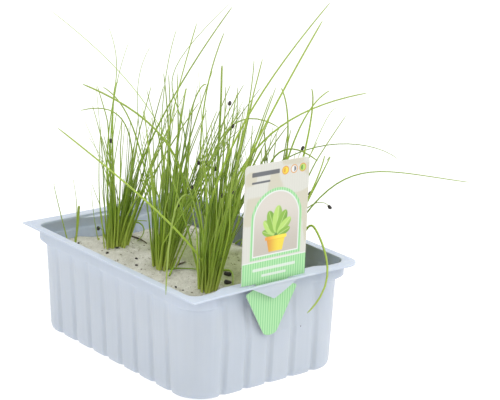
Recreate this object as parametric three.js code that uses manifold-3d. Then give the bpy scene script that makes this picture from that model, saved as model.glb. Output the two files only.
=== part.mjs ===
// Six chive plants in a nursery tray: the formed plastic tray, its sandy soil, six tufts,
// three stray seedlings and the plant label that hangs in the tray's rim.
// Millimetres, +Z up. The origin is the middle of the tray's underside, X runs along its short
// side, Y along its long side, and the label hangs at the -Y end.
import * as THREE from "three";
import { mergeVertices } from "three/addons/utils/BufferGeometryUtils.js";
import Module from "manifold-3d";

// ---------------------------------------------------------------- driving dimensions

// The rim: outer half sizes, height of its top, thickness, and the corner radii of its
// outer edge, which the trimming die leaves sharp on one long side.
const RIM = { halfX: 65.9, halfY: 92.5, top: 70, thick: 1.2, sharp: 0.8, round: 11 };
// The edge where the rim turns down into the mouth of the tray.
const MOUTH = { halfX: 60.4, halfY: 85.3, corner: 9 };
// The upright band under the rim, above the shoulder ledge.
const BAND = { halfX: 61.5, halfY: 87.4, corner: 10, bottom: 60 };
// The fluted lower wall, at its foot and at the ledge.
const FOOT = { halfX: 58.8, halfY: 84.9, corner: 19.5, z: 3.6, flute: 1.6 };
const LEDGE = { halfX: 61.3, halfY: 86.6, corner: 20.5, z: 59.4, flute: 0.4 };
const WALL = 1;
const FLOOR = 1.2;
// Where the foot's rounding has come in by its knee, and where it meets the flat underside.
const KNEE = { z: 1, inset: 1 };
const FOOT_INSET = 3.6;
// Flutes: upright grooves at an even pitch, each with two slanted flanks.
const FLUTE = { pitchX: 17.7, countX: 5, pitchY: 17.1, countY: 8, half: 2.3 };
// Each short wall leans in above its foot, to leave room under a wider stretch of the rim. Half
// widths of that stretch: where it is full, and where it ends.
const RECESS = { foot: 35, halfY: 82, front: [36, 45], far: [13, 27] };
const CORNER_STEPS = 5;
// A short wall's last station before its corner, as a share of the way from its last flute.
const RUN = 0.6;
const DRAIN = { radius: 3, x: 30, y: 58, sides: 12 };
// The tongue cut from the rim and bent down: its hinge, width, length and place along X.
const TONGUE = { x: -2.5, halfWidth: 18.3, length: 9, slot: 8, hingeY: -90.3, thick: 0.9 };

// The clear gap between two pieces that lie against each other.
const GAP = 0.3;
// Soil: heights of its underside and its edge, its clearance from the upper wall, how far its
// middle is heaped, and the shares of its outline at which its top bends.
const SOIL = { bottom: 1.5, edge: 55.6, clear: 0.9, heap: 1.2, rings: [0.94, 0.78, 0.56, 0.3] };
// The soil has sunk along the far and the right wall: how far, and where that starts. It fades
// out along each wall, given as the share at its shallow end and the stretch it grows over.
const SUNK = {
  depth: 6,
  far: { start: 68, least: 0.25, stretch: [-18, 8] },
  right: { start: 44, least: 0.5, stretch: [-90, 50] },
};
// Low ripples of the soil: height, and turns per millimetre along X and Y of two crossing waves.
const RIPPLE = { height: 0.35, first: [0.31, 0.23], second: [0.17, -0.29] };

// Crowns: radius in the ground and at the neck, depth, height of the neck, sides.
const CROWN = { radius: 7.6, neck: 6.2, bottom: 46, top: 59, sides: 9 };
const CROWN_X = 21.5;
const CROWN_PITCH = 49;
// The disc of leaf roots inside a crown: its height, its radius, and how far out leading leaves
// start, as a share of that radius.
const ROOT = { z: 54, disc: 5.4, lead: 0.6 };
// A stray seedling's own small crown.
const BULB = { radius: 1.6, bottom: 50, top: 57.6, sides: 8 };

// Leaves: half thickness at the base and tip, and the steps along them. A leaf is a slender
// three-sided spike, whose section has the area of the round leaf.
const LEAF = { base: 0.66, tip: 0.3, seedling: 0.55, sides: 3, steps: 5, leadSteps: 8 };
const SAME_AREA = Math.sqrt((4 * Math.PI) / (3 * Math.sqrt(3)));
const GOLDEN_TURN = Math.PI * (3 - Math.sqrt(5));
// The shorter leaves that fill each tuft: their number, their range of length, and the most that
// they lean, droop and turn, in degrees. The inner ones lean least, and each by its own share.
// All lean a little more one way, as if to the light.
const FILL = { count: 25, shortest: 50, longest: 118, lean: 11, droop: 22, turn: 60, seed: 20 };
const TO_LIGHT = new THREE.Vector3(0.1, -0.08, 0);
const LEAN_SHARE = { inner: 0.3, least: 0.5, most: 1.2 };
// Leaves of two plants keep this far apart, tested at points along them, and a filling leaf is
// turned on by a step at a time until it does.
const KEEP = { apart: 3.4, points: 56, turn: 0.35, tries: 40 };
// The space that the filling leaves keep to: inside the walls while low, behind the label.
const ROOM = { low: 76, halfX: 54, halfY: 76, front: -83 };
// Seed husks: length and half width.
const HUSK = { length: 3.4, half: 1.1 };

// Label: a thin panel over the rim, a neck in the slot, and a barbed stake below.
const LABEL = { y: -88, thick: 0.7, left: -26.1, right: 23, top: 145, clip: 3, arc: 3 };
const STAKE = { x: -2.5, neck: 12.2, neckBottom: 68.2, barb: 19, barbTop: 64.6, barbZ: 62.4 };
// How far the barbs' curved shoulders swell past their corners, upwards and outwards.
const SHOULDER = { up: 2, out: 1 };
const STAKE_TIP = { half: 5.6, z: 37.6, bottom: 35 };

// Crown middles, from the tray's left row, back to front, then the right row.
const CROWNS = [1, 0, -1].map((row) => [-CROWN_X, row * CROWN_PITCH]);
CROWNS.push(...[1, 0, -1].map((row) => [CROWN_X, row * CROWN_PITCH]));

// The leading leaves of each tuft, the ones that reach past the rest. Each runs from its root
// in the crown towards its pull points and ends in its tip, all in millimetres from the crown's
// middle at root height.
const LEADERS = [
  [
    [[0, 32, 85], [24, 18, 105], [15, 33, 142]],
    [[8, 32, 84], [35, 39, 128]],
    [[34, 5, 103], [-18, 16, 94]],
    [[-14, 9, 17], [-3, 14, 84]],
    [[11, 5, 67], [67, -31, 161]],
    [[17, 37, 105], [35, 51, 98]],
  ],
  [
    [[42, -14, 81], [-45, 23, 124]],
    [[9, 32, 99], [-7, 56, 110]],
    [[7, 23, 55], [54, 39, 148]],
    [[33, 27, 99], [55, 50, 102]],
  ],
  [
    [[10, -9, 20], [-57, 81, 96]],
    [[5, 19, 45], [1, -6, 30], [-14, 21, 123], [-48, -22, 15]],
    [[-3, 22, 72], [70, -25, 180]],
    [[11, 17, 41], [90, 5, 161]],
    [[21, 2, 79], [27, -14, 148]],
    [[17, 26, 82], [31, 55, 127]],
  ],
  [
    [[36, 7, 67], [-25, 108, 139]],
    [[47, 10, 112], [-14, 52, 72], [69, 29, 148]],
    [[11, 40, 80], [58, 75, 122]],
    [[-8, 51, 85], [32, 70, 114]],
    [[29, 21, 102], [41, 18, 97]],
  ],
  [
    [[23, 23, 86], [107, -21, 101]],
    [[-6, 29, 76], [17, 17, 145]],
    [[20, 25, 95], [33, 39, 117]],
    [[31, 5, 94], [28, 0, 129]],
    [[33, 26, 103], [49, 43, 94]],
    [[-6, 20, 38], [18, 28, 107], [46, -5, 83]],
    [[29, 8, 83], [83, -52, 85], [77, -87, 76]],
  ],
  [
    [[38, -31, 56], [6, -2, 43], [39, -56, 26], [-10, -56, -3]],
    [[48, -10, 84], [58, -29, 71], [99, -80, 68]],
    [[11, 29, 104], [34, -10, 75]],
    [[43, -1, 102], [32, -4, 121]],
    [[32, 21, 99], [67, 19, 110]],
    [[37, 11, 96], [35, 29, 114]],
    [[49, 3, 108], [51, -7, 106]],
    [[51, -14, 91], [51, 1, 70]],
    [[32, -12, 58], [44, -5, 76]],
  ],
];

// The leaves that hold a seed husk at their tip, given in the same way.
const HUSKED = [
  [
    [[1, 4, 44], [4, 14, 71]],
    [[6, 1, 30], [21, 2, 48]],
    [[-12, 4, 22], [-11, 6, 16]],
  ],
  [
    [[8, 0, 32], [25, 1, 52]],
    [[4, -1, 27], [12, -2, 43]],
  ],
  [
    [[5, 3, 36], [17, 9, 58]],
    [[7, 2, 37], [23, 5, 60]],
  ],
  [],
  [
    [[7, 6, 60], [24, 19, 97]],
    [[7, 4, 51], [23, 14, 83]],
    [[-2, 4, 39], [-5, 13, 63]],
    [[2, 3, 36], [6, 9, 58]],
    [[3, 6, 36], [5, 17, 60]],
  ],
  [
    [[4, 5, 45], [14, 18, 73]],
    [[10, 2, 50], [34, 5, 80]],
    [[10, -2, 33], [33, -5, 53]],
    [[31, -4, 60], [35, -22, 48]],
  ],
];

// Seedlings: where each stands, and its leaves as pull point and tip from there.
const SEEDLINGS = [
  { at: [-40.5, 78], leaves: [[[-9, 7, 46], [-7, 6, 41]]] },
  { at: [-36, 76.7], leaves: [[[2, 0, 14], [3, 0, 26]], [[3, 0, 25], [-2, 0, 46]]] },
  { at: [-22, 70], leaves: [[[-5, 0, 21], [-6, 0, 40]]] },
];

// ---------------------------------------------------------------- solids

// Corners this close together are one.
const WELD = 1e-4;

const wasm = await Module();
wasm.setup();

// A closed solid of loose triangles, given as a flat list of points.
function solidOf(corners) {
  const geometry = new THREE.BufferGeometry().setFromPoints(corners);
  return solidFrom(geometry);
}

// The solid inside any closed geometry of three.js.
function solidFrom(geometry) {
  const bare = geometry.index ? geometry.toNonIndexed() : geometry;
  bare.deleteAttribute("normal");
  bare.deleteAttribute("uv");
  const merged = mergeVertices(bare, WELD);
  const vertProperties = merged.attributes.position.array;
  const triVerts = new Uint32Array(merged.index.array);
  return new wasm.Manifold(new wasm.Mesh({ numProp: 3, vertProperties, triVerts }));
}

// The one body of a fused solid, with any pocket that its pieces shut in between them filled.
function filled(solid) {
  return solid.decompose().reduce((best, body) => (body.volume() > best.volume() ? body : best));
}

// A named mesh of a finished solid, with its own origin at a place of the part.
function part(name, solid, material, place = new THREE.Vector3()) {
  const { vertProperties, triVerts } = solid.getMesh();
  const geometry = new THREE.BufferGeometry();
  geometry.setAttribute("position", new THREE.BufferAttribute(vertProperties, 3));
  geometry.setIndex(new THREE.BufferAttribute(triVerts, 1));
  geometry.translate(-place.x, -place.y, -place.z);
  geometry.computeVertexNormals();
  const mesh = new THREE.Mesh(geometry, material);
  mesh.name = name;
  mesh.position.copy(place);
  return mesh;
}

// The skin between closed rings of equally many points, shut by a fan at each end. Rings run
// anticlockwise seen from above, from the outside of the foot to the middle of the inside.
function loft(rings) {
  const corners = [];
  const fan = (ring, ahead) => {
    const middle = new THREE.Vector3();
    ring.forEach((point) => middle.addScaledVector(point, 1 / ring.length));
    ring.forEach((point, i) => {
      const next = ring[(i + 1) % ring.length];
      corners.push(middle, ...(ahead ? [point, next] : [next, point]));
    });
  };
  fan(rings[0], false);
  for (let k = 1; k < rings.length; k += 1) {
    const [lower, upper] = [rings[k - 1], rings[k]];
    lower.forEach((point, i) => {
      const j = (i + 1) % lower.length;
      corners.push(point, lower[j], upper[j], point, upper[j], upper[i]);
    });
  }
  fan(rings.at(-1), true);
  return solidOf(corners);
}

// An upright prism with a regular outline.
function post(x, y, radius, sides, bottom, top) {
  const ring = (z) =>
    Array.from({ length: sides }, (_, i) => {
      const angle = (2 * Math.PI * i) / sides;
      return new THREE.Vector3(x + radius * Math.cos(angle), y + radius * Math.sin(angle), z);
    });
  return loft([ring(bottom), ring(top)]);
}

// A flat plate in the XZ plane, from its back face at y to y + thick.
function plate(shape, y, thick) {
  const geometry = new THREE.ExtrudeGeometry(shape, { depth: thick, bevelEnabled: false });
  geometry.rotateX(Math.PI / 2);
  geometry.translate(0, y + thick, 0);
  return solidFrom(geometry);
}

// ---------------------------------------------------------------- tray outline

const lerp = THREE.MathUtils.lerp;

// Stations round the outline, anticlockwise from the +X side. A side station has a place along
// its side; a corner station has an angle. The plain outline keeps clear of the fluted one.
function stations(fluted) {
  const along = (pitch, count, ends) => {
    const marks = ends.map((at) => ({ at }));
    for (let i = 0; i < (fluted ? count : 0); i += 1) {
      const middle = (i - (count - 1) / 2) * pitch;
      marks.push({ at: middle - FLUTE.half }, { at: middle, deep: true });
      marks.push({ at: middle + FLUTE.half });
    }
    return marks.sort((a, b) => a.at - b.at);
  };
  const [full, none] = RECESS.far;
  const bends = fluted ? [none] : [full, FLUTE.pitchX, FLUTE.pitchX + FLUTE.half, none];
  const long = along(FLUTE.pitchY, FLUTE.countY, fluted ? [] : [0]);
  const short = along(FLUTE.pitchX, FLUTE.countX, [...bends, ...bends.map((at) => -at)]);
  const list = [];
  const turn = (quarter) => {
    if (quarter % 2) list.push({ quarter, run: true });
    for (let i = 0; i <= CORNER_STEPS; i += 1)
      list.push({ quarter, angle: ((quarter + i / CORNER_STEPS) * Math.PI) / 2 });
    if (quarter % 2 === 0) list.push({ quarter, run: true });
  };
  const backwards = (marks) => marks.map((mark) => ({ ...mark, at: -mark.at }));
  long.forEach((mark) => list.push({ ...mark, x: 1 }));
  turn(0);
  backwards(short).forEach((mark) => list.push({ ...mark, y: 1 }));
  turn(1);
  backwards(long).forEach((mark) => list.push({ ...mark, x: -1 }));
  turn(2);
  short.forEach((mark) => list.push({ ...mark, y: -1 }));
  turn(3);
  return list;
}

// How much of the recess a place on a short wall gets, from 1 in the middle to 0 near the ends.
function recessShare(x, signY) {
  const [full, none] = signY < 0 ? RECESS.front : RECESS.far;
  return 1 - THREE.MathUtils.smoothstep(Math.abs(x), full, none);
}

// The ring of a level: half sizes, corner radius, flute depth, depth of the recess and height.
function ring(level, marks) {
  return marks.map((mark) => {
    const flute = mark.deep ? level.flute : 0;
    if (mark.x) return new THREE.Vector3(mark.x * (level.halfX - flute), mark.at, level.z);
    const radius = level.corners ? level.corners[mark.quarter] : level.corner;
    const signX = mark.quarter === 0 || mark.quarter === 3 ? 1 : -1;
    const signY = mark.y || (mark.quarter < 2 ? 1 : -1);
    let [x, y] = [mark.at, level.halfY - flute];
    if (mark.run) {
      const lastFlute = ((FLUTE.countX - 1) / 2) * FLUTE.pitchX + FLUTE.half;
      x = signX * lerp(lastFlute, level.halfX - radius, RUN);
    } else if (!mark.y) {
      x = signX * (level.halfX - radius) + radius * Math.cos(mark.angle);
      y = level.halfY - radius + radius * Math.abs(Math.sin(mark.angle));
    }
    y -= (level.recess || 0) * recessShare(x, signY);
    return new THREE.Vector3(x, signY * y, level.z);
  });
}

// How far up the fluted wall a height lies, as a share of the way from its foot to the ledge.
function wallShare(z) {
  return (z - FOOT.z) / (LEDGE.z - FOOT.z);
}

// The fluted wall's outer level at height z.
function wallAt(z) {
  const share = wallShare(z);
  const level = { z };
  for (const key of ["halfX", "halfY", "corner", "flute"])
    level[key] = lerp(FOOT[key], LEDGE[key], share);
  level.recess = recessAt(z, level.halfY);
  return level;
}

// How deep the recess is at height z, in a wall that would otherwise stand at halfY.
function recessAt(z, halfY) {
  if (z <= RECESS.foot) return 0;
  const share = (z - RECESS.foot) / (RIM.top - RIM.thick - RECESS.foot);
  const foot = lerp(FOOT.halfY, LEDGE.halfY, wallShare(RECESS.foot));
  return Math.max(0, halfY - lerp(foot, RECESS.halfY, share));
}

// A level drawn in by a distance, at another height if one is given.
function inset(level, by, z = level.z) {
  const corners = { halfX: level.halfX - by, halfY: level.halfY - by, corner: level.corner - by };
  return { ...level, ...corners, z };
}

// ---------------------------------------------------------------- tray

function traySolid() {
  const foot = wallAt(FOOT.z);
  const middle = wallAt(RECESS.foot);
  const ledge = wallAt(LEDGE.z);
  const under = RIM.top - RIM.thick;
  const band = (z) => ({ ...BAND, flute: 0, recess: recessAt(z, BAND.halfY), z });
  const corners = [RIM.round, RIM.sharp, RIM.sharp, RIM.round];
  const edge = { halfX: RIM.halfX, halfY: RIM.halfY, corners, flute: 0 };
  const mouth = { ...MOUTH, flute: 0, recess: MOUTH.halfY - RECESS.halfY + WALL, z: RIM.top };
  const levels = [
    inset(foot, FOOT_INSET, 0),
    inset(foot, KNEE.inset, KNEE.z),
    foot,
    middle,
    ledge,
    band(BAND.bottom),
    band(under),
    { ...edge, z: under },
    { ...edge, z: RIM.top },
    mouth,
    inset(band(under), WALL, under - WALL / 2),
    inset(band(BAND.bottom + WALL), WALL),
    inset(ledge, WALL, LEDGE.z + WALL),
    inset(middle, WALL),
    inset(foot, WALL, FOOT.z + WALL),
    inset(foot, FOOT_INSET + WALL / 2, FLOOR),
  ];
  const marks = stations(true);
  let tray = loft(levels.map((level) => ring(level, marks)));
  for (const x of [-DRAIN.x, DRAIN.x])
    for (const y of [-DRAIN.y, 0, DRAIN.y])
      tray = tray.subtract(post(x, y, DRAIN.radius, DRAIN.sides, -FLOOR, 2 * FLOOR));
  return tray.subtract(slotSolid()).add(tongueSolid());
}

// The V cut in the front rim, its wide end at the tongue's hinge. It runs from a rim's thickness
// under the rim to as much above it.
function slotSolid() {
  const cut = new THREE.Shape([
    new THREE.Vector2(TONGUE.x - TONGUE.halfWidth, TONGUE.hingeY),
    new THREE.Vector2(TONGUE.x + TONGUE.halfWidth, TONGUE.hingeY),
    new THREE.Vector2(TONGUE.x, TONGUE.hingeY + TONGUE.slot),
  ]);
  const depth = 3 * RIM.thick;
  const geometry = new THREE.ExtrudeGeometry(cut, { depth, bevelEnabled: false });
  geometry.translate(0, 0, RIM.top - 2 * RIM.thick);
  return solidFrom(geometry);
}

// The tongue bent straight down from that hinge.
function tongueSolid() {
  const root = RIM.top - RIM.thick / 2;
  const tongue = new THREE.Shape([
    new THREE.Vector2(TONGUE.x - TONGUE.halfWidth, root),
    new THREE.Vector2(TONGUE.x, RIM.top - RIM.thick - TONGUE.length),
    new THREE.Vector2(TONGUE.x + TONGUE.halfWidth, root),
  ]);
  return plate(tongue, TONGUE.hingeY - TONGUE.thick, TONGUE.thick);
}

// ---------------------------------------------------------------- soil

// How far the soil has sunk at a place.
function sunk(x, y) {
  const share = (across, end, along, { start, least, stretch }) => {
    const grown = lerp(least, 1, THREE.MathUtils.smoothstep(along, ...stretch));
    return grown * THREE.MathUtils.smoothstep(across, start, end);
  };
  return SUNK.depth * Math.max(share(y, LEDGE.halfY, x, SUNK.far), share(x, LEDGE.halfX, y, SUNK.right));
}

// Height of the soil: heaped towards the middle, with low ripples, and sunk along two walls.
function soilTop(x, y) {
  const quarter = Math.PI / 2;
  const heap = Math.cos((quarter * x) / LEDGE.halfX) * Math.cos((quarter * y) / LEDGE.halfY);
  const crossed = Math.sin(RIPPLE.first[0] * x) * Math.cos(RIPPLE.first[1] * y);
  const slanted = Math.sin(RIPPLE.second[0] * x + RIPPLE.second[1] * y);
  return SOIL.edge + SOIL.heap * heap + RIPPLE.height * (crossed + slanted) - sunk(x, y);
}

function soilSolid() {
  const marks = stations(false);
  const inside = (z, extra) => {
    const level = wallAt(z);
    return ring({ ...inset(level, WALL + level.flute + extra), flute: 0 }, marks);
  };
  const foot = wallAt(FOOT.z);
  const floor = inset(foot, FOOT_INSET + WALL + foot.flute, SOIL.bottom);
  const rings = [
    ring({ ...floor, flute: 0 }, marks),
    inside(FOOT.z + WALL + GAP, GAP),
    inside(RECESS.foot, SOIL.clear),
    inside(SOIL.edge, SOIL.clear),
  ];
  const edge = rings[3];
  for (const point of edge) point.z = soilTop(point.x, point.y);
  for (const share of SOIL.rings)
    rings.push(
      edge.map(({ x, y }) => new THREE.Vector3(x * share, y * share, soilTop(x * share, y * share))),
    );
  let soil = loft(rings);
  for (const [x, y] of CROWNS)
    soil = soil.subtract(
      post(x, y, CROWN.radius + GAP, CROWN.sides, CROWN.bottom - GAP, RIM.top),
    );
  for (const { at } of SEEDLINGS)
    soil = soil.subtract(
      post(at[0], at[1], BULB.radius + GAP, BULB.sides, BULB.bottom - GAP, RIM.top),
    );
  return soil;
}

// ---------------------------------------------------------------- leaves

// Evenly spread random numbers from 0 to 1, the same on every run (mulberry32).
function dice(seed) {
  let state = seed;
  return () => {
    state = (state + 0x6d2b79f5) | 0;
    let mixed = Math.imul(state ^ (state >>> 15), 1 | state);
    mixed = (mixed + Math.imul(mixed ^ (mixed >>> 7), 61 | mixed)) ^ mixed;
    return ((mixed ^ (mixed >>> 14)) >>> 0) / 2 ** 32;
  };
}

// The point at share s of a Bezier route of any number of pull points.
function along(route, s) {
  let row = route;
  while (row.length > 1) row = row.slice(1).map((point, i) => row[i].clone().lerp(point, s));
  return row[0];
}

function pointsOf(route, count) {
  return Array.from({ length: count + 1 }, (_, i) => along(route, i / count));
}

// A unit step at a bearing round the crown and a lean from upright, both in radians.
function heading(bearing, lean) {
  const out = Math.sin(lean);
  return new THREE.Vector3(out * Math.cos(bearing), out * Math.sin(bearing), Math.cos(lean));
}

// A leaf along its route: rings of a few points, closed by its root face and its tip. Its rings
// are turned by the plane that it bends in; a straight leaf has no such plane, so X serves.
function leafSolid(route, base, tip, steps) {
  const bend = new THREE.Vector3().subVectors(route[1], route[0]);
  const side = bend.cross(new THREE.Vector3().subVectors(route.at(-1), route[0])).normalize();
  if (side.lengthSq() < 0.5) side.set(1, 0, 0);
  const middles = pointsOf(route, steps);
  const rings = middles.slice(0, -1).map((middle, i) => {
    const ahead = new THREE.Vector3().subVectors(middles[i + 1], middles[Math.max(i - 1, 0)]);
    const out = new THREE.Vector3().crossVectors(ahead, side).normalize();
    const across = new THREE.Vector3().crossVectors(ahead, out).normalize();
    const radius = SAME_AREA * lerp(base, tip, i / steps);
    return Array.from({ length: LEAF.sides }, (_, k) => {
      const angle = (2 * Math.PI * k) / LEAF.sides;
      const point = middle.clone().addScaledVector(out, radius * Math.cos(angle));
      return point.addScaledVector(across, radius * Math.sin(angle));
    });
  });
  const corners = [];
  corners.push(rings[0][2], rings[0][1], rings[0][0]);
  for (let i = 1; i < rings.length; i += 1)
    for (let k = 0; k < LEAF.sides; k += 1) {
      const j = (k + 1) % LEAF.sides;
      corners.push(rings[i - 1][k], rings[i - 1][j], rings[i][j]);
      corners.push(rings[i - 1][k], rings[i][j], rings[i][k]);
    }
  const last = rings.at(-1);
  for (let k = 0; k < LEAF.sides; k += 1)
    corners.push(last[k], last[(k + 1) % LEAF.sides], middles.at(-1));
  return solidOf(corners);
}

// A seed husk round a leaf's tip, lying along its last stretch.
function huskSolid(route) {
  const geometry = new THREE.IcosahedronGeometry(1, 0);
  geometry.scale(HUSK.half, HUSK.half, HUSK.length / 2);
  const ahead = new THREE.Vector3().subVectors(route.at(-1), route.at(-2)).normalize();
  const turn = new THREE.Quaternion().setFromUnitVectors(new THREE.Vector3(0, 0, 1), ahead);
  geometry.applyQuaternion(turn);
  geometry.translate(...route.at(-1));
  return solidFrom(geometry);
}

// ---------------------------------------------------------------- tufts

// Points along every leaf placed so far, by plant.
const placed = [];

// Whether a leaf of one plant stays clear of the leaves of the others.
function clearOfOthers(points, plant) {
  return placed.every(
    (leaf) =>
      leaf.plant === plant ||
      leaf.points.every((a) => points.every((b) => a.distanceToSquared(b) > KEEP.apart ** 2)),
  );
}

// Whether a filling leaf stays inside the walls while it is low, and behind the label.
function inRoom(points) {
  return points.every(
    ({ x, y, z }) =>
      y > ROOM.front && (z > ROOM.low || (Math.abs(x) < ROOM.halfX && Math.abs(y) < ROOM.halfY)),
  );
}

// Takes up the space of a leaf's route for its plant, and passes the route on.
function take(route, plant) {
  placed.push({ plant, points: pointsOf(route, KEEP.points) });
  return route;
}

// A route from a crown, given by points from the crown's middle. The root lies a little way
// out in the disc of roots, on the side that the leaf leaves to.
function routeFrom(middle, pulls) {
  const [first] = pulls;
  const reach = Math.hypot(first[0], first[1]) || 1;
  const out = (ROOT.lead * Math.min(ROOT.disc, reach)) / reach;
  const root = new THREE.Vector3(first[0] * out, first[1] * out, 0);
  return [root, ...pulls.map((pull) => new THREE.Vector3(...pull))].map((p) => p.add(middle));
}

// The filling leaves of a tuft: roots spread over the disc like seeds in a flower head, each
// leaf leaning out the way its root lies, turned on until it is clear of the other plants.
function fillRoutes(middle, plant) {
  const roll = dice(FILL.seed + plant);
  const start = roll() * 2 * Math.PI;
  const routes = [];
  for (let i = 0; i < FILL.count; i += 1) {
    const share = Math.sqrt((i + 0.5) / FILL.count);
    const angle = start + i * GOLDEN_TURN;
    const length = lerp(FILL.shortest, FILL.longest, roll());
    const own = lerp(LEAN_SHARE.inner, 1, share) * lerp(LEAN_SHARE.least, LEAN_SHARE.most, roll());
    const lean = THREE.MathUtils.degToRad(FILL.lean * own);
    const droop = THREE.MathUtils.degToRad(FILL.droop * roll());
    const turn = THREE.MathUtils.degToRad(FILL.turn * (roll() - 0.5));
    const root = heading(angle, Math.PI / 2).multiplyScalar(ROOT.disc * share).add(middle);
    for (let tried = 0; tried < KEEP.tries; tried += 1) {
      const bearing = angle + turn + tried * KEEP.turn;
      const ahead = heading(bearing, lean).add(TO_LIGHT);
      const pull = root.clone().addScaledVector(ahead, length / 2);
      const last = heading(bearing + turn, lean + droop).add(TO_LIGHT);
      const tip = pull.clone().addScaledVector(last, length / 2);
      const route = [root, pull, tip];
      const points = pointsOf(route, KEEP.points);
      if (inRoom(points) && clearOfOthers(points, plant)) {
        routes.push(take(route, plant));
        break;
      }
    }
  }
  return routes;
}

// The crown: a plug in the ground that narrows above it to a neck of packed leaf bases.
function crownSolid([x, y]) {
  const profile = [
    [CROWN.radius, CROWN.bottom],
    [CROWN.radius, SOIL.edge],
    [CROWN.neck, CROWN.top],
  ];
  const rings = profile.map(([radius, z]) =>
    Array.from({ length: CROWN.sides }, (_, i) => {
      const angle = (2 * Math.PI * i) / CROWN.sides;
      return new THREE.Vector3(x + radius * Math.cos(angle), y + radius * Math.sin(angle), z);
    }),
  );
  return loft(rings);
}

function tuftSolid(crown, leads, husks, fills) {
  let tuft = crownSolid(crown);
  for (const route of leads)
    tuft = tuft.add(leafSolid(route, LEAF.base, LEAF.tip, LEAF.leadSteps));
  for (const route of husks)
    tuft = tuft.add(leafSolid(route, LEAF.base, LEAF.tip, LEAF.steps)).add(huskSolid(route));
  for (const route of fills)
    tuft = tuft.add(leafSolid(route, LEAF.base, LEAF.tip, LEAF.steps));
  return filled(tuft);
}

function seedlingSolid({ at, leaves }) {
  const [x, y] = at;
  let seedling = post(x, y, BULB.radius, BULB.sides, BULB.bottom, BULB.top);
  const root = new THREE.Vector3(x, y, ROOT.z);
  for (const pulls of leaves) {
    const route = [root, ...pulls.map((pull) => new THREE.Vector3(...pull).add(root))];
    seedling = seedling.add(leafSolid(route, LEAF.seedling, LEAF.tip, LEAF.steps));
  }
  return seedling;
}

// ---------------------------------------------------------------- label

function labelSolid() {
  const { x, neck, neckBottom, barb, barbTop, barbZ } = STAKE;
  const { up, out } = SHOULDER;
  const bottom = RIM.top + GAP;
  const shape = new THREE.Shape();
  shape.moveTo(LABEL.left, bottom);
  shape.lineTo(x - neck, bottom);
  shape.lineTo(x - neck, neckBottom);
  shape.quadraticCurveTo(x - neck - out, barbTop + up, x - barb, barbTop);
  shape.quadraticCurveTo(x - barb - out, barbTop - out, x - barb, barbZ);
  shape.lineTo(x - STAKE_TIP.half, STAKE_TIP.z);
  shape.quadraticCurveTo(x, 2 * STAKE_TIP.bottom - STAKE_TIP.z, x + STAKE_TIP.half, STAKE_TIP.z);
  shape.lineTo(x + barb, barbZ);
  shape.quadraticCurveTo(x + barb + out, barbTop - out, x + barb, barbTop);
  shape.quadraticCurveTo(x + neck + out, barbTop + up, x + neck, neckBottom);
  shape.lineTo(x + neck, bottom);
  shape.lineTo(LABEL.right, bottom);
  shape.lineTo(LABEL.right, LABEL.top - LABEL.clip);
  shape.quadraticCurveTo(LABEL.right, LABEL.top, LABEL.right - LABEL.clip, LABEL.top);
  shape.lineTo(LABEL.left + LABEL.clip, LABEL.top);
  shape.quadraticCurveTo(LABEL.left, LABEL.top, LABEL.left, LABEL.top - LABEL.clip);
  const outline = new THREE.Shape(shape.getPoints(LABEL.arc));
  return plate(outline, LABEL.y - LABEL.thick / 2, LABEL.thick);
}

// ---------------------------------------------------------------- the part

const finish = (color, roughness) =>
  new THREE.MeshStandardMaterial({ color, roughness, metalness: 0, flatShading: true });
const plastic = finish(0xcbd4e0, 0.45);
const sand = finish(0xbebbaa, 0.95);
const green = finish(0x7a9d2c, 0.5);
const card = finish(0xe6e6de, 0.4);

// Leading and husk leaves take their places first, and the filling leaves go round them.
const middles = CROWNS.map(([x, y]) => new THREE.Vector3(x, y, ROOT.z));
const leads = middles.map((middle, i) =>
  LEADERS[i].map((pulls) => take(routeFrom(middle, pulls), i)),
);
const husks = middles.map((middle, i) =>
  HUSKED[i].map((pulls) => take(routeFrom(middle, pulls), i)),
);
const fills = middles.map((middle, i) => fillRoutes(middle, i));

const plants = new THREE.Group();
middles.forEach((middle, i) => {
  const tuft = tuftSolid(CROWNS[i], leads[i], husks[i], fills[i]);
  plants.add(part(`tuft_${i + 1}`, tuft, green, middle));
});
SEEDLINGS.forEach((seedling, i) => {
  const place = new THREE.Vector3(...seedling.at, ROOT.z);
  plants.add(part(`seedling_${i + 1}`, seedlingSolid(seedling), green, place));
});

const root = new THREE.Group();
root.add(part("tray", traySolid(), plastic));
root.add(part("soil", soilSolid(), sand));
root.add(plants);
root.add(part("label", labelSolid(), card, new THREE.Vector3(STAKE.x, LABEL.y, RIM.top)));

export default root;
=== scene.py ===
# Six chive plants in a nursery tray: the drawn plastic tray, its sandy soil and what lies on
# it, six tufts and three seedlings, and the plant label that hangs in the tray's front rim.
# Sizes are millimetres in the part's own frame, and become metres where a mesh is made.
import math

import bpy
import numpy as np
from mathutils import Matrix, Vector


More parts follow.
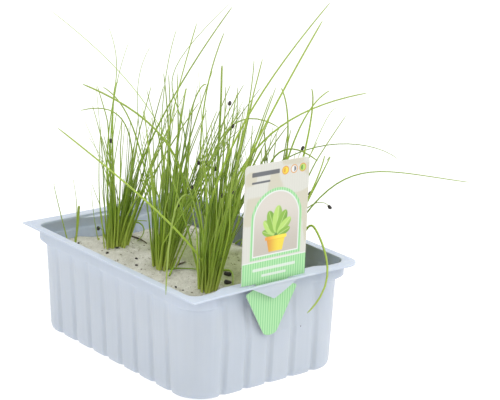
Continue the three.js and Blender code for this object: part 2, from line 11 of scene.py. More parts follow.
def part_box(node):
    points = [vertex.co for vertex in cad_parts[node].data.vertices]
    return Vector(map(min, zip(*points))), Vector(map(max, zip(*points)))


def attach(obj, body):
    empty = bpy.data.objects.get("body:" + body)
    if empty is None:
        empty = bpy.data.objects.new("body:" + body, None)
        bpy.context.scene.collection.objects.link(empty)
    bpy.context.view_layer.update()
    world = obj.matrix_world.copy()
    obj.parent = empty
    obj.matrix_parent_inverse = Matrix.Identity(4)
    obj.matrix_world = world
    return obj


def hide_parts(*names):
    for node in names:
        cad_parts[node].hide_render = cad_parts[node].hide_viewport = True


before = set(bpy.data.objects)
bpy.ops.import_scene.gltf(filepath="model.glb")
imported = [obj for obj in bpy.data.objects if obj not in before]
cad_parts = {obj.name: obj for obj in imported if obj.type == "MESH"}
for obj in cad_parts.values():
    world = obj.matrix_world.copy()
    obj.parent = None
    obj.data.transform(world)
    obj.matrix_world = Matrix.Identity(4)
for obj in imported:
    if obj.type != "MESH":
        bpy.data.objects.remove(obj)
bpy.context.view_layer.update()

# ------------------------------------------------------------------------------- the tray
# One sheet of pale grey-blue plastic, drawn hot over a mould and trimmed by a die: fluted
# walls, a shoulder ledge at the corners, a flat rim, and a recess that leans in at each short
# wall. A tongue is cut from the front rim and bent down, and the floor has six drain holes.

MM = 0.001
tray_low, tray_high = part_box("tray")

# The rim's top, thickness and underside, how far its short sides lie in at their middle, and
# the thickness of the walls.
RIM_TOP = tray_high.z / MM
RIM_THICK = 1.2
RIM_UNDER = RIM_TOP - RIM_THICK
RIM_HOLLOW = 0.5
SHEET = 1.0

# A level of the tray: half sizes along X and Y, corner radii at its +X and -X ends, depth of
# the flutes, how far a panel falls off towards its flutes, depth of the recess in the front and
# in the far wall, how far the ends of a short side bow out, height.
FOOT = np.array([58.8, 84.9, 19.5, 19.5, 1.6, 0.45, 0.0, 0.0, 0.0, 3.6])
LEDGE = np.array([61.3, 86.6, 20.5, 20.5, 0.4, 0.1, 0.0, 0.0, 0.0, 59.4])
BAND = np.array([61.5, 87.4, 10.0, 10.0, 0.0, 0.0, 0.0, 0.0, 0.0, 60.6])
MOUTH = np.array([60.4, 84.9, 9.0, 7.5, 0.0, 0.0, 0.0, 0.0, 0.4, RIM_TOP])
RIM = np.array(
    [tray_high.x / MM, -tray_low.y / MM - RIM_HOLLOW, 11.0, 0.8, 0.0, 0.0, 0.0, 0.0, 2.1, RIM_TOP]
)
HALF_X, HALF_Y, RIGHT, LEFT, FLUTE, FALL, FRONT, FAR, BOW, Z = range(10)

# Long sides first, then short ones: flute pitch, number, and half the straight stretch. Then
# the half width of a flute's flat floor and of its mouth.
PITCH = (17.1, 17.7)
FLUTES = (8, 5)
STRAIGHT = (62.0, 36.0)
GROOVE_FLOOR = 0.6
GROOVE_MOUTH = 3.2

# Recess: its foot and its face under the rim, where across the wall it is full and ends, and
# the shelf over it with the ledge that the far one stands out by.
RECESS_FOOT = 35.0
RECESS_TOP_Y = 82.0
RECESS_FRONT = (35.0, 46.0)
RECESS_FAR = (12.0, 28.0)
SHELF_DROP = 1.8
SHELF = RIM_TOP - SHELF_DROP
FAR_LEDGE = 0.9

# Floor: its thickness, how far in it turns flat, the knee on the way there, and the shares of
# the way from the middle at which it has rings.
FLOOR = 1.2
FLOOR_INSET = 3.6
KNEE_INSET = 1.0
KNEE_Z = 0.9
FLOOR_SHARES = np.array([0.2, 0.6])

DRAIN = {"radius": 3.0, "x": 30.0, "y": 58.0, "sides": 24}
TONGUE = {"x": -2.5, "half": 18.3, "length": 9.8, "hinge_y": -90.3, "thick": 0.9}
SLOT_LENGTH = 8.0

# The tongue's blunt tip, how far it bows out, and the rows and columns of its skin.
TONGUE_TIP = 0.7
TONGUE_BELLY = 0.5
TONGUE_GRID = (14, 28)

# Columns of the tray's skin along a long side, a short side, a corner's straight run and its
# arc, and the bend in degrees from which an edge of the sheet is sharp.
TRAY_COLUMNS = (230, 150, 8, 14)
SHARP = 38


def shells(name, *stacks, **marks):
    """One mesh of closed shells, in metres from millimetres. A stack holds shells, each a grid
    of rings: (shells, rings, columns, 3). Quads join neighbouring rings, and the first and last
    ring are shut by a fan to their middle. Each mark is an attribute, a list of one array of
    values for each stack, shaped as the stack is."""
    points, quads, fans, start = [], [], [], 0
    values = {key: [] for key in marks}
    for number, stack in enumerate(stacks):
        count, rows, columns = stack.shape[:3]
        index = start + np.arange(count * rows * columns).reshape(count, rows, columns)
        after = np.roll(index, -1, axis=2)
        pole = start + index.size + np.arange(2 * count).reshape(count, 2, 1)
        pole = np.repeat(pole, columns, axis=2)
        faces = np.stack([index[:, :-1], after[:, :-1], after[:, 1:], index[:, 1:]], axis=-1)
        quads.append(faces.reshape(-1, 4))
        fans.append(np.stack([pole[:, 0], after[:, 0], index[:, 0]], axis=-1).reshape(-1, 3))
        fans.append(np.stack([pole[:, 1], index[:, -1], after[:, -1]], axis=-1).reshape(-1, 3))
        points += [stack.reshape(-1, 3), stack[:, [0, -1]].mean(axis=2).reshape(-1, 3)]
        for key, arrays in marks.items():
            mark = np.broadcast_to(arrays[number], stack.shape[:3] + arrays[number].shape[3:])
            width = mark.shape[3:]
            ends = mark[:, [0, -1]].mean(axis=2)
            values[key] += [mark.reshape(-1, *width), ends.reshape(-1, *width)]
        start += index.size + 2 * count
    mesh = bpy.data.meshes.new(name)
    faces = np.concatenate(quads).tolist() + np.concatenate(fans).tolist()
    mesh.from_pydata((np.concatenate(points) * MM).tolist(), [], faces)
    for key, arrays in values.items():
        array = np.concatenate(arrays)
        kind, field = ("FLOAT_COLOR", "color") if array.ndim == 2 else ("FLOAT", "value")
        mesh.attributes.new(key, kind, "POINT").data.foreach_set(field, array.ravel())
    piece = bpy.data.objects.new(name, mesh)
    bpy.context.scene.collection.objects.link(piece)
    return piece


def smooth(piece, degrees):
    """Smooth shading, but for edges that bend by more than so many degrees."""
    piece.data.shade_smooth()
    piece.data.set_sharp_from_angle(angle=math.radians(degrees))


def smoothstep(low, high, value):
    """0 below low, 1 above high, and 3t^2 - 2t^3 between them, t being the share of the way."""
    share = np.clip((value - low) / (high - low), 0, 1)
    return share * share * (3 - 2 * share)


def stations(long_steps, short_steps, run_steps, arc_steps):
    """Columns round the tray, anticlockwise from +X: a side, a corner, a side and so on. A
    corner has a straight run, an arc and a second run, so that it starts at the same place for
    every radius. Rows of the result: 0 long side, 1 short side or 2 arc; a place along the side,
    or the angle on the arc; a share of the run; and the signs of X and Y."""
    steps = (long_steps, short_steps)
    run = np.linspace(0, 1, run_steps + 1)[1:-1]
    columns = []
    for turn in range(4):
        side = turn % 2
        sign_x = 1 if turn in (0, 3) else -1
        sign_y = 1 if turn in (0, 1) else -1
        ends = (sign_y * STRAIGHT[0], sign_x * STRAIGHT[1])
        at = sign_x * np.linspace(-STRAIGHT[side], STRAIGHT[side], steps[side] + 1)
        angle = (turn + np.linspace(0, 1, arc_steps + 1)) * math.pi / 2
        for kind, place, share in (
            (side, at, 0 * at),
            (side, 0 * run + ends[side], run),
            (2, angle, 0 * angle),
            (1 - side, 0 * run + ends[1 - side], run[::-1]),
        ):
            signs = [0 * place + sign_x, 0 * place + sign_y]
            columns.append(np.stack([0 * place + kind, place, share, *signs]))
    return np.concatenate(columns, axis=1)


def dent(at, side, level):
    """How far a wall lies in at a place along its side: the flute's depth over a flat groove
    with eased flanks, plus the panel's fall, which dies out as a square up to mid-panel."""
    span = PITCH[side] * (FLUTES[side] - 1) / 2
    nearest = np.clip(np.round((at + span) / PITCH[side]), 0, FLUTES[side] - 1)
    away = np.abs(at + span - nearest * PITCH[side])
    groove = 1 - smoothstep(GROOVE_FLOOR, GROOVE_MOUTH, away)
    fall = (1 - np.minimum(away / (PITCH[side] / 2), 1)) ** 2
    return level[:, FLUTE, None] * groove + level[:, FALL, None] * fall


def rings(levels, columns):
    """Points of every level at every column. On a side, one coordinate is the column's place,
    moved on towards the arc by its share of the run, and the other is the half size less the
    dent; on an arc, both follow a quarter circle. A short side then bows out with the square
    of the place along it, and steps in by the recess."""
    kind, place, share, sign_x, sign_y = columns
    level = np.asarray(levels)
    half_x, half_y = level[:, HALF_X, None], level[:, HALF_Y, None]
    radius = np.where(sign_x > 0, level[:, RIGHT, None], level[:, LEFT, None])
    along_y = place + share * sign_y * (half_y - radius - STRAIGHT[0])
    along_x = place + share * sign_x * (half_x - radius - STRAIGHT[1])
    round_x = half_x - radius + radius * np.abs(np.cos(place))
    round_y = half_y - radius + radius * np.abs(np.sin(place))
    x = np.where(kind == 0, half_x - dent(along_y, 0, level), round_x) * sign_x
    x = np.where(kind == 1, along_x, x)
    y = np.where(kind == 1, half_y - dent(along_x, 1, level), round_y)
    front = level[:, FRONT, None] * (1 - smoothstep(*RECESS_FRONT, np.abs(x)))
    far = level[:, FAR, None] * (1 - smoothstep(*RECESS_FAR, np.abs(x)))
    y = y + level[:, BOW, None] * (x / half_x) ** 2 - np.where(sign_y < 0, front, far)
    y = np.where(kind == 0, along_y, sign_y * y)
    return np.stack([x, y, level[:, Z, None] + 0 * x], axis=-1)


def changed(level, inset=0.0, **sizes):
    """A copy of a level, drawn in all round by an inset, with some of its sizes set anew."""
    copy = level.copy()
    copy[[HALF_X, HALF_Y, RIGHT, LEFT]] -= inset
    for key, value in sizes.items():
        copy[{"front": FRONT, "far": FAR, "z": Z}[key]] = value
    return copy


def wall(z, inset=0.0):
    """The fluted wall's level at a height: each size runs straight from foot to ledge, and the
    recess leans in from its own foot, straight to its place under the rim."""
    level = FOOT + (LEDGE - FOOT) * (z - FOOT[Z]) / (LEDGE[Z] - FOOT[Z])
    return recessed(changed(level, inset), inset)


def recessed(level, inset=0.0, ledge=0.0):
    """A copy of a level with the recess in both short walls: from nothing at its foot, its face
    runs straight to its place under the rim, and stands out by a ledge at the far wall."""
    foot = FOOT + (LEDGE - FOOT) * (RECESS_FOOT - FOOT[Z]) / (LEDGE[Z] - FOOT[Z])
    share = max(0.0, (level[Z] - RECESS_FOOT) / (RIM_UNDER - RECESS_FOOT))
    face = foot[HALF_Y] + (RECESS_TOP_Y - foot[HALF_Y]) * share - inset
    depth = max(0.0, level[HALF_Y] - face) if level[Z] > RECESS_FOOT else 0.0
    return changed(level, front=depth, far=max(0.0, depth - ledge))


def eased(levels, radii, steps=5):
    """The path through the levels with its bends rounded: a quadratic curve leaves the path a
    radius before each bend and joins it a radius after, or at half way where that is nearer."""
    across = [HALF_X, FRONT, FAR, Z]
    share = np.linspace(0, 1, steps)[:, None]
    path = [levels[:1]]
    for before, bend, after, radius in zip(levels, levels[1:], levels[2:], radii):
        leave = bend + (before - bend) * min(0.5, radius / np.linalg.norm((before - bend)[across]))
        join = bend + (after - bend) * min(0.5, radius / np.linalg.norm((after - bend)[across]))
        path.append((1 - share) ** 2 * leave + 2 * share * (1 - share) * bend + share**2 * join)
    return np.concatenate(path + [levels[-1:]])


def tray_grid(columns):
    """The tray as one closed skin of rings: up the outside from the middle of the underside,
    over the rim, and down the inside to the middle of the floor. Each level of the path is
    given with the radius that rounds its bend."""
    under_shelf = recessed(changed(BAND, z=SHELF - SHEET), ledge=FAR_LEDGE)
    under_rim = recessed(changed(BAND, z=RIM_UNDER))
    inner_band = changed(BAND, SHEET, z=BAND[Z] + SHEET)
    inner_ledge = wall(LEDGE[Z], SHEET)
    mouth_depth = MOUTH[HALF_Y] - RECESS_TOP_Y + SHEET
    path = [
        (changed(FOOT, FLOOR_INSET, z=0.0), 0.0),
        (changed(FOOT, KNEE_INSET, z=KNEE_Z), 0.8),
        (FOOT, 1.6),
        (wall(RECESS_FOOT), 0.1),
        (wall(LEDGE[Z]), 0.9),
        (recessed(BAND, ledge=FAR_LEDGE), 0.9),
        (under_shelf, 0.6),
        (changed(under_shelf, far=0.0), 0.6),
        (changed(under_rim, far=0.0), 0.8),
        (changed(RIM, z=RIM_UNDER), 0.25),
        (RIM, 0.45),
        (changed(MOUTH, front=mouth_depth), 0.6),
        (changed(MOUTH, z=SHELF, front=mouth_depth), 0.7),
        (changed(MOUTH, z=SHELF, front=mouth_depth, far=mouth_depth), 0.9),
        (recessed(inner_band, SHEET, FAR_LEDGE), 0.8),
        (changed(inner_ledge, z=LEDGE[Z] + SHEET), 0.8),
        (wall(RECESS_FOOT, SHEET), 0.1),
        (changed(FOOT, SHEET, z=FOOT[Z] + SHEET), 1.5),
        (changed(FOOT, FLOOR_INSET + SHEET / 2, z=FLOOR), 0.0),
    ]
    levels = np.array([level for level, _ in path])
    radii = [radius for _, radius in path[1:-1]]
    skin = rings(eased(levels, radii), columns)
    flat = np.array([1, 1, 0])
    lift = 1 - flat
    shares = FLOOR_SHARES[:, None, None]
    underside = skin[0] * (flat * shares + lift)
    floor = skin[-1] * (flat * shares[::-1] + lift)
    return np.concatenate([underside, skin, floor])[None]


def prisms(outlines, low, high):
    """Upright prisms: each outline, anticlockwise, at a low and a high level."""
    outline = np.asarray(outlines, float)
    levels = [np.concatenate([outline, 0 * outline[..., :1] + z], axis=-1) for z in (low, high)]
    return np.stack(levels, axis=1)


def slot_outline():
    """The V cut in the front rim, its wide end at the tongue's hinge."""
    x, half, y = TONGUE["x"], TONGUE["half"], TONGUE["hinge_y"]
    return [[[x - half, y], [x + half, y], [x, y + SLOT_LENGTH]]]


def drain_outlines():
    """Six circles, three along each side of the floor's middle line."""
    turn = np.linspace(0, 2 * math.pi, DRAIN["sides"], endpoint=False)
    circle = DRAIN["radius"] * np.stack([np.cos(turn), np.sin(turn)], axis=-1)
    middles = [[x, y] for x in (-DRAIN["x"], DRAIN["x"]) for y in (-DRAIN["y"], 0, DRAIN["y"])]
    return np.array(middles)[:, None] + circle


def tongue_grid():
    """The tongue: flat sections like a slot with round ends, narrowing from the hinge to a
    blunt tip, and curving back under the rim at the top, where they join it."""
    rows, columns = TONGUE_GRID
    down = np.linspace(1, 0, rows)[:, None]
    turn = np.linspace(0, 2 * math.pi, columns, endpoint=False) - math.pi
    half = TONGUE["half"] * (1 - down) + TONGUE_TIP
    thick = TONGUE["thick"] / 2
    flat = np.sign(np.cos(turn)) * (half - thick) + thick * np.cos(turn)
    x = TONGUE["x"] + flat
    belly = TONGUE_BELLY * np.sin(math.pi * down)
    y = TONGUE["hinge_y"] - thick - belly + thick * np.sin(turn)
    z = RIM_TOP - RIM_THICK / 2 - TONGUE["length"] * down + 0 * x
    return np.stack([x, y, z], axis=-1)[None]


def carve(piece, cutter):
    """Cuts one closed mesh out of another for good, and drops the cutter."""
    cut = piece.modifiers.new("cut", "BOOLEAN")
    cut.object = cutter
    cut.solver = "MANIFOLD"
    ready = piece.evaluated_get(bpy.context.evaluated_depsgraph_get())
    mesh = bpy.data.meshes.new_from_object(ready)
    piece.modifiers.clear()
    piece.data = mesh
    bpy.data.objects.remove(cutter)


def nodes_of(name):
    """A new material, its node tree and its shader."""
    material = bpy.data.materials.new(name)
    material.use_nodes = True
    return material, material.node_tree, material.node_tree.nodes["Principled BSDF"]


def feed(tree, made, **inputs):
    """Sets each named input of a node to a value, or links it to a socket. In a name, _ stands
    for a space, and _2 is the input of that number."""
    for key, value in inputs.items():
        socket = made.inputs[int(key[1:]) if key[1:].isdigit() else key.replace("_", " ")]
        if isinstance(value, bpy.types.NodeSocket):
            tree.links.new(value, socket)
        else:
            socket.default_value = value
    return made


def node(tree, kind, settings=(), **inputs):
    """A new shader node of a kind, with its settings made and its inputs fed."""
    made = tree.nodes.new("ShaderNode" + kind)
    for key, value in dict(settings).items():
        setattr(made, key, value)
    return feed(tree, made, **inputs)


def place_in(tree, stretch=None):
    """The place on the object that patterns read, in metres, or times a number for each axis."""
    place = node(tree, "TexCoord").outputs["Object"]
    return node(tree, "Mapping", Vector=place, Scale=stretch).outputs[0] if stretch else place


def axis(tree, vector, name):
    """The X, Y or Z of a vector."""
    return node(tree, "SeparateXYZ", Vector=vector).outputs[name]


def maths(tree, operation, first, second):
    """The result of an operation on two values."""
    return node(tree, "Math", {"operation": operation}, _0=first, _1=second).outputs[0]


def rise(tree, value, low, high):
    """0 to 1 as a value goes from low to high, and no further."""
    return node(tree, "MapRange", Value=value, From_Min=low, From_Max=high).outputs[0]


def clouds(tree, place, scale, detail, **more):
    """Soft random values from 0 to 1, in clouds about 1 / scale wide."""
    return node(tree, "TexNoise", Vector=place, Scale=scale, Detail=detail, **more).outputs["Fac"]


def specks(tree, place, scale, size, share):
    """1 on the round middles of a random share of the cells of a pattern, and 0 elsewhere."""
    cells = node(tree, "TexVoronoi", Vector=place, Scale=scale)
    middle = maths(tree, "LESS_THAN", cells.outputs["Distance"], size)
    chance = node(tree, "SeparateColor", Color=cells.outputs["Color"]).outputs[0]
    return maths(tree, "MULTIPLY", middle, maths(tree, "GREATER_THAN", chance, 1 - share))


def between_values(tree, share, first, second):
    """The value at a share of the way from a first to a second one."""
    return node(tree, "Mix", _0=share, _2=first, _3=second).outputs[0]


def layer(tree, share, under, over, way="MIX"):
    """A colour with a second one laid over it by a share, or multiplied in."""
    settings = {"data_type": "RGBA", "blend_type": way}
    return node(tree, "Mix", settings, _0=share, _6=under, _7=over).outputs[2]


def ramp(tree, factor, stops):
    """A colour ramp: pairs of a place from 0 to 1 and a linear colour."""
    made = node(tree, "ValToRGB", Fac=factor)
    stop = made.color_ramp.elements
    for number, (place, colour) in enumerate(stops):
        if number == len(stop):
            stop.new(place)
        stop[number].position = place
        stop[number].color = (*colour, 1.0)
    return made.outputs["Color"]


def bumps(tree, height, strength, distance):
    """The surface's facing, as a relief of a height would turn it."""
    return node(tree, "Bump", Strength=strength, Distance=distance, Height=height).outputs[0]


SHEET_TONES = [(0.3, (0.450, 0.500, 0.575)), (0.7, (0.495, 0.540, 0.610))]
DIRT = (0.16, 0.17, 0.17, 1.0)

# Painted shade on the inner face of the right wall: how far a wall has to face -X, and where along X
# and Y it comes in.
RIGHT_WALL_SHADE = {"facing": (-0.2, -0.8), "X": (0.03, 0.055), "Y": (-0.09, -0.05)}
RIGHT_WALL_SHADE_TINT = (0.5, 0.5, 0.4, 1.0)


def plastic_material():
    """Drawn sheet: soft sheen, draw lines down the walls, a little unevenness of tone, a few
    specks of dirt, and painted shade over the inner face of the right wall."""
    material, tree, shader = nodes_of("tray_plastic")
    place = place_in(tree)
    lines = clouds(tree, place_in(tree, (420.0, 420.0, 14.0)), 1.0, 2.0)
    uneven = between_values(tree, 0.35, clouds(tree, place, 22.0, 3.0), lines)
    dirty = specks(tree, place, 75.0, 0.035, 0.28)
    colour = layer(tree, dirty, ramp(tree, uneven, SHEET_TONES), DIRT)
    # Painted shade: a tint multiplied in darkens the inner face of the right wall.
    facing = axis(tree, node(tree, "NewGeometry").outputs["Normal"], "X")
    right_wall_shade = rise(tree, facing, *RIGHT_WALL_SHADE["facing"])
    for name in "XY":
        right_wall_shade = maths(tree, "MULTIPLY", right_wall_shade, rise(tree, axis(tree, place, name), *RIGHT_WALL_SHADE[name]))
    relief = between_values(tree, 0.6, clouds(tree, place, 700.0, 2.0), lines)
    feed(
        tree,
        shader,
        Base_Color=layer(tree, right_wall_shade, colour, RIGHT_WALL_SHADE_TINT, "MULTIPLY"),
        Normal=bumps(tree, relief, 0.12, 0.0004),
        Roughness=0.42,
        Specular_IOR_Level=0.45,
        Subsurface_Weight=0.4,
        Subsurface_Radius=(0.9, 1.0, 1.3),
        Subsurface_Scale=0.003,
    )
    return material


tray = shells("formed_tray", tray_grid(stations(*TRAY_COLUMNS)))
cutter = shells(
    "cutter",
    prisms(slot_outline(), SHELF - 2 * SHEET, RIM_TOP + SHEET),
    prisms(drain_outlines(), -FLOOR, 2 * FLOOR),
)
carve(tray, cutter)
tongue = shells("tray_tongue", tongue_grid())
plastic = plastic_material()
for piece in (tray, tongue):
    smooth(piece, SHARP)
    piece.data.materials.clear()
    piece.data.materials.append(plastic)
    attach(piece, "root")
    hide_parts("tray")

# ------------------------------------------------------------------------------- the soil
# Moist, sandy seedling soil, filled in to a finger's breadth below the rim and settled by
# watering: a pale crust of fine sand, pitted and lumpy, heaped slightly round each plant.

SOIL_BOTTOM = 1.5
SOIL_EDGE = 55.6
SOIL_HEAP = 1.2
SOIL_CLEAR = 0.35
SOIL_FOOT = {"inset": 0.3, "rise": 1.4}

# Ripples: their height, and how fast the crossed pair and the slanting one turn along X and Y,
# in radians a millimetre.
RIPPLE = 0.35
CROSSED = (0.31, 0.23)
SLANTING = (0.17, 0.29)

CROWN_X = 21.5
CROWN_PITCH = 49.0
CROWNS = np.array([[x, y] for x in (-CROWN_X, CROWN_X) for y in (CROWN_PITCH, 0, -CROWN_PITCH)])
MOUND = {"rise": 0.9, "reach": 9.0}

# Along the far and the right wall the soil has sunk: how far, where that starts, and the
# stretch along each wall over which it grows from its least share.
SUNK = 6.0
SUNK_FAR = {"start": 68.0, "least": 0.25, "stretch": (-18.0, 8.0)}
SUNK_RIGHT = {"start": 44.0, "least": 0.5, "stretch": (-90.0, 50.0)}

# Lumps of the soil: size of a lump, and how far it stands up, from clods down to grains.
LUMPS = ((26.0, 0.8), (12.0, 0.95), (6.0, 0.6), (2.6, 0.32), (1.2, 0.16))
LUMPS_ROLL = 40
LATTICE = 97
LATTICE_START = 200.5

# Painted shade on the soil under the leaves, tinted green as by light from them: where it
#  starts and is full, where it thins again towards the right wall and how far, and the size,
#  strength and roll of its patches.
CANOPY_SHADE_X = (-16.0, 4.0)
CANOPY_SHADE_Y = (64.0, 38.0)
CANOPY_SHADE_THINNING = {"stretch": (22.0, 48.0), "share": 0.6}
CANOPY_SHADE_PATCH = {"size": 9.0, "strength": 1.6, "roll": 90}

# Columns of the skin as for the tray, rings of its top, and the share of the area in the last.
SOIL_COLUMNS = (116, 72, 4, 8)
SOIL_RINGS = 84
SOIL_MIDDLE = 0.0004
SOIL_SHARP = 60


def noise(x, y, size, seed):
    """Smooth random heights from -1 to 1: a random value at each corner of a square lattice of
    a size, with eased shares of the four corners in between."""
    corners = np.random.default_rng(seed).uniform(-1, 1, (LATTICE, LATTICE))
    u, v = np.asarray(x) / size + LATTICE_START, np.asarray(y) / size + LATTICE_START
    i, j = np.floor(u).astype(int), np.floor(v).astype(int)
    s, t = smoothstep(0, 1, u - i), smoothstep(0, 1, v - j)
    i, j = np.stack([i, i + 1]) % LATTICE, np.stack([j, j + 1]) % LATTICE
    near = corners[i[0], j[0]] * (1 - s) + corners[i[1], j[0]] * s
    far = corners[i[0], j[1]] * (1 - s) + corners[i[1], j[1]] * s
    return near * (1 - t) + far * t


def sunk(across, end, along_wall, place):
    """Share from 0 to 1 of the sinking at a wall: it grows as a smooth step towards the wall and
    along it."""
    grown = place["least"] + (1 - place["least"]) * smoothstep(*place["stretch"], along_wall)
    return grown * smoothstep(place["start"], end, across)


def soil_height(x, y):
    """Height of the soil: a cosine heap over the tray, crossed and slanting ripples, lumps of
    several sizes, a low mound round each crown, and less the sinking at two walls."""
    quarter = math.pi / 2
    heap = np.cos(quarter * x / LEDGE[HALF_X]) * np.cos(quarter * y / LEDGE[HALF_Y])
    ripple = np.sin(CROSSED[0] * x) * np.cos(CROSSED[1] * y)
    ripple = ripple + np.sin(SLANTING[0] * x - SLANTING[1] * y)
    height = SOIL_EDGE + SOIL_HEAP * heap + RIPPLE * ripple
    for number, (size, lift) in enumerate(LUMPS):
        height = height + lift * noise(x, y, size, LUMPS_ROLL + number)
    away = np.stack([np.hypot(x - crown[0], y - crown[1]) for crown in CROWNS])
    mounds = MOUND["rise"] * np.exp(-((away / MOUND["reach"]) ** 2)).sum(axis=0)
    far, right = sunk(y, LEDGE[HALF_Y], x, SUNK_FAR), sunk(x, LEDGE[HALF_X], y, SUNK_RIGHT)
    return height + mounds - SUNK * np.maximum(far, right)


def damp(x, y):
    """Share from 0 to 1 of painted shade, tinted green, where the leaves overhang the soil: a
    smooth step along X times one along Y, less a share towards the right wall, with noise where
    it is half full."""
    share = smoothstep(*CANOPY_SHADE_X, x) * smoothstep(*CANOPY_SHADE_Y, y)
    share = share * (1 - CANOPY_SHADE_THINNING["share"] * smoothstep(*CANOPY_SHADE_THINNING["stretch"], x))
    patches = CANOPY_SHADE_PATCH["strength"] * noise(x, y, CANOPY_SHADE_PATCH["size"], CANOPY_SHADE_PATCH["roll"])
    return np.clip(share + share * (1 - share) * patches, 0, 1)


def soil_grid(columns):
    """The soil as one closed skin: out over its underside, up along the tray's wall, and in
    over its top in rings that shrink evenly to the middle and take the height there."""
    clear = SHEET + SOIL_CLEAR
    levels = [
        changed(FOOT, FLOOR_INSET + clear, z=SOIL_BOTTOM),
        changed(FOOT, clear + SOIL_FOOT["inset"], z=FOOT[Z] + SOIL_FOOT["rise"]),
        wall(RECESS_FOOT, clear),
        wall(SOIL_EDGE, clear),
    ]
    side = rings(levels, columns)
    flat = np.array([1, 1, 0])
    underside = side[0] * (flat * FLOOR_SHARES[:, None, None] + 1 - flat)
    shares = np.sqrt(np.linspace(1, SOIL_MIDDLE, SOIL_RINGS))[:, None]
    x, y = side[-1, :, 0] * shares, side[-1, :, 1] * shares
    top = np.stack([x, y, soil_height(x, y)], axis=-1)
    return np.concatenate([underside, side[:-1], top])[None]


PEAT = (0.14, 0.12, 0.085, 1.0)
SAND = [(0.3, (0.37, 0.36, 0.30)), (0.5, (0.55, 0.54, 0.475)), (0.68, (0.71, 0.70, 0.64))]
# Painted shade, tinted green, that the soil and its grains take under the leaves.
CANOPY_SHADE_TINT = (0.6, 0.67, 0.42, 1.0)


def mark_on(tree, name):
    """The value of one of the mesh's own marks."""
    return node(tree, "Attribute", {"attribute_name": name}).outputs["Fac"]


def sand_material(name, colours, mark=None):
    """Sand: light and dark grains of half a millimetre and less over patches that dried out to
    different tones, all matt, with crumbs of peat and the grains standing up a little, and
    painted shade, tinted green, where the leaves overhang."""
    material, tree, shader = nodes_of(name)
    place = place_in(tree)
    patch = mark_on(tree, mark) if mark else clouds(tree, place, 85.0, 5.0, Roughness=0.65)
    grain = clouds(tree, place, 1500.0, 2.0)
    colour = ramp(tree, between_values(tree, 0.45, patch, grain), colours)
    colour = layer(tree, specks(tree, place, 420.0, 0.3, 0.03), colour, PEAT)
    # Painted shade under the leaves, multiplied in by the mesh's mark.
    colour = layer(tree, mark_on(tree, "damp"), colour, CANOPY_SHADE_TINT, "MULTIPLY")
    normal = bumps(tree, grain, 0.6, 0.0003)
    feed(tree, shader, Base_Color=colour, Normal=normal, Roughness=0.92, Specular_IOR_Level=0.25)
    return material


grid = soil_grid(stations(*SOIL_COLUMNS))
# The soil carries a mark of painted shade under the leaves.
soil = shells("sandy_soil", grid, damp=[damp(grid[..., 0], grid[..., 1])])
smooth(soil, SOIL_SHARP)
soil.data.materials.append(sand_material("sandy_soil", SAND))
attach(soil, "root")
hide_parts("soil")

# ------------------------------------------------------------------------ grains and crumbs
# Coarse grains of sand and crumbs of peat that lie loose on the crust: each a rough pebble a
# quarter to one and a half millimetres across, sunk a little into it.

GRAINS = 900
GRAIN_SIZE = (0.2, 0.55)
GRAIN_ODDS = (0.6, 1.3)
GRAIN_MARGIN = (3, 9)
GRAIN_SINK = 0.3
GRAIN_ROLL = 7
GRAIN_MIX = (2.2, 2.0)
GRAIN_TONES = [(0.2, (0.08, 0.065, 0.045)), (0.36, (0.42, 0.40, 0.32)), (0.75, (0.68, 0.67, 0.61))]

# A pebble's points round it, and the ranges of its reach, its rise and its lean.
PEBBLE = {"points": 5, "reach": (0.7, 1.15), "rise": (0.45, 0.7), "lean": (-0.35, 0.35)}


def pebbles(middles, radii, rng):
    """Rough pebbles: two rings of a few points, below and above the middle, with each point's
    distance drawn at random, and each pebble turned, leant and flattened at random."""
    count, points = len(middles), PEBBLE["points"]
    turn = np.linspace(0, 2 * math.pi, points, endpoint=False) + rng.uniform(0, 6, (count, 1, 1))
    reach = radii[:, None, None] * rng.uniform(*PEBBLE["reach"], (count, 2, points))
    lift = radii[:, None, None] * rng.uniform(*PEBBLE["rise"], (count, 1, 1)) * np.array([[-1], [1]])
    lean = rng.uniform(*PEBBLE["lean"], (count, 1, 1, 2))
    x, y = reach * np.cos(turn), reach * np.sin(turn)
    z = lift + x * lean[..., 0] + y * lean[..., 1]
    return np.stack([x, y, z], axis=-1) + middles[:, None, None]


rng = np.random.default_rng(GRAIN_ROLL)
reach = np.array([LEDGE[HALF_X], LEDGE[HALF_Y]]) - GRAIN_MARGIN
spread = rng.uniform(-1, 1, (GRAINS, 2)) * reach
radii = rng.uniform(*GRAIN_SIZE, GRAINS) * rng.uniform(*GRAIN_ODDS, GRAINS)
heights = soil_height(*spread.T) + radii * (1 - GRAIN_SINK) / 2
grid = pebbles(np.column_stack([spread, heights]), radii, rng)
every = np.ones((1, *grid.shape[1:3]))
# The grains carry the same mark of painted shade as the soil under them.
grains = shells(
    "soil_grains",
    grid,
    grain=[rng.beta(*GRAIN_MIX, (GRAINS, 1, 1)) * every],
    damp=[damp(*spread.T)[:, None, None] * every],
)
grains.data.materials.append(sand_material("soil_grains", GRAIN_TONES, "grain"))
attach(grains, "root")

# ---------------------------------------------------------------------------- the tufts
# Six young chive plants. Each leaf is a slender round tube that rises from a bunch of sheaths
# in the soil, pale at its foot and duller at its tip. The long ones arch out over the tray,
# and some still hold up the black husk of their seed.

ROOT_Z = 54.0
ROOT_DISC = 5.4
LEAD_ROOT = 0.6
GOLDEN_TURN = math.pi * (3 - math.sqrt(5))

# Leaves that fill a tuft: how many, their lengths, and lean, droop and turn in degrees.
# All lean a little more one way, as if to the light.
FILL = {"count": 25, "short": 50, "long": 118, "lean": 11, "droop": 22, "turn": 60, "seed": 20}
TO_LIGHT = np.array([0.1, -0.08, 0.0])
LEAN_SHARE = {"inner": 0.3, "least": 0.5, "most": 1.2}

# Room that a filling leaf keeps: to other plants, inside the walls, and behind the label.
KEEP = {"apart": 3.4, "points": 56, "turn": 0.35, "tries": 40}
ROOM = {"low": 76, "half_x": 54, "half_y": 76, "front": -83}

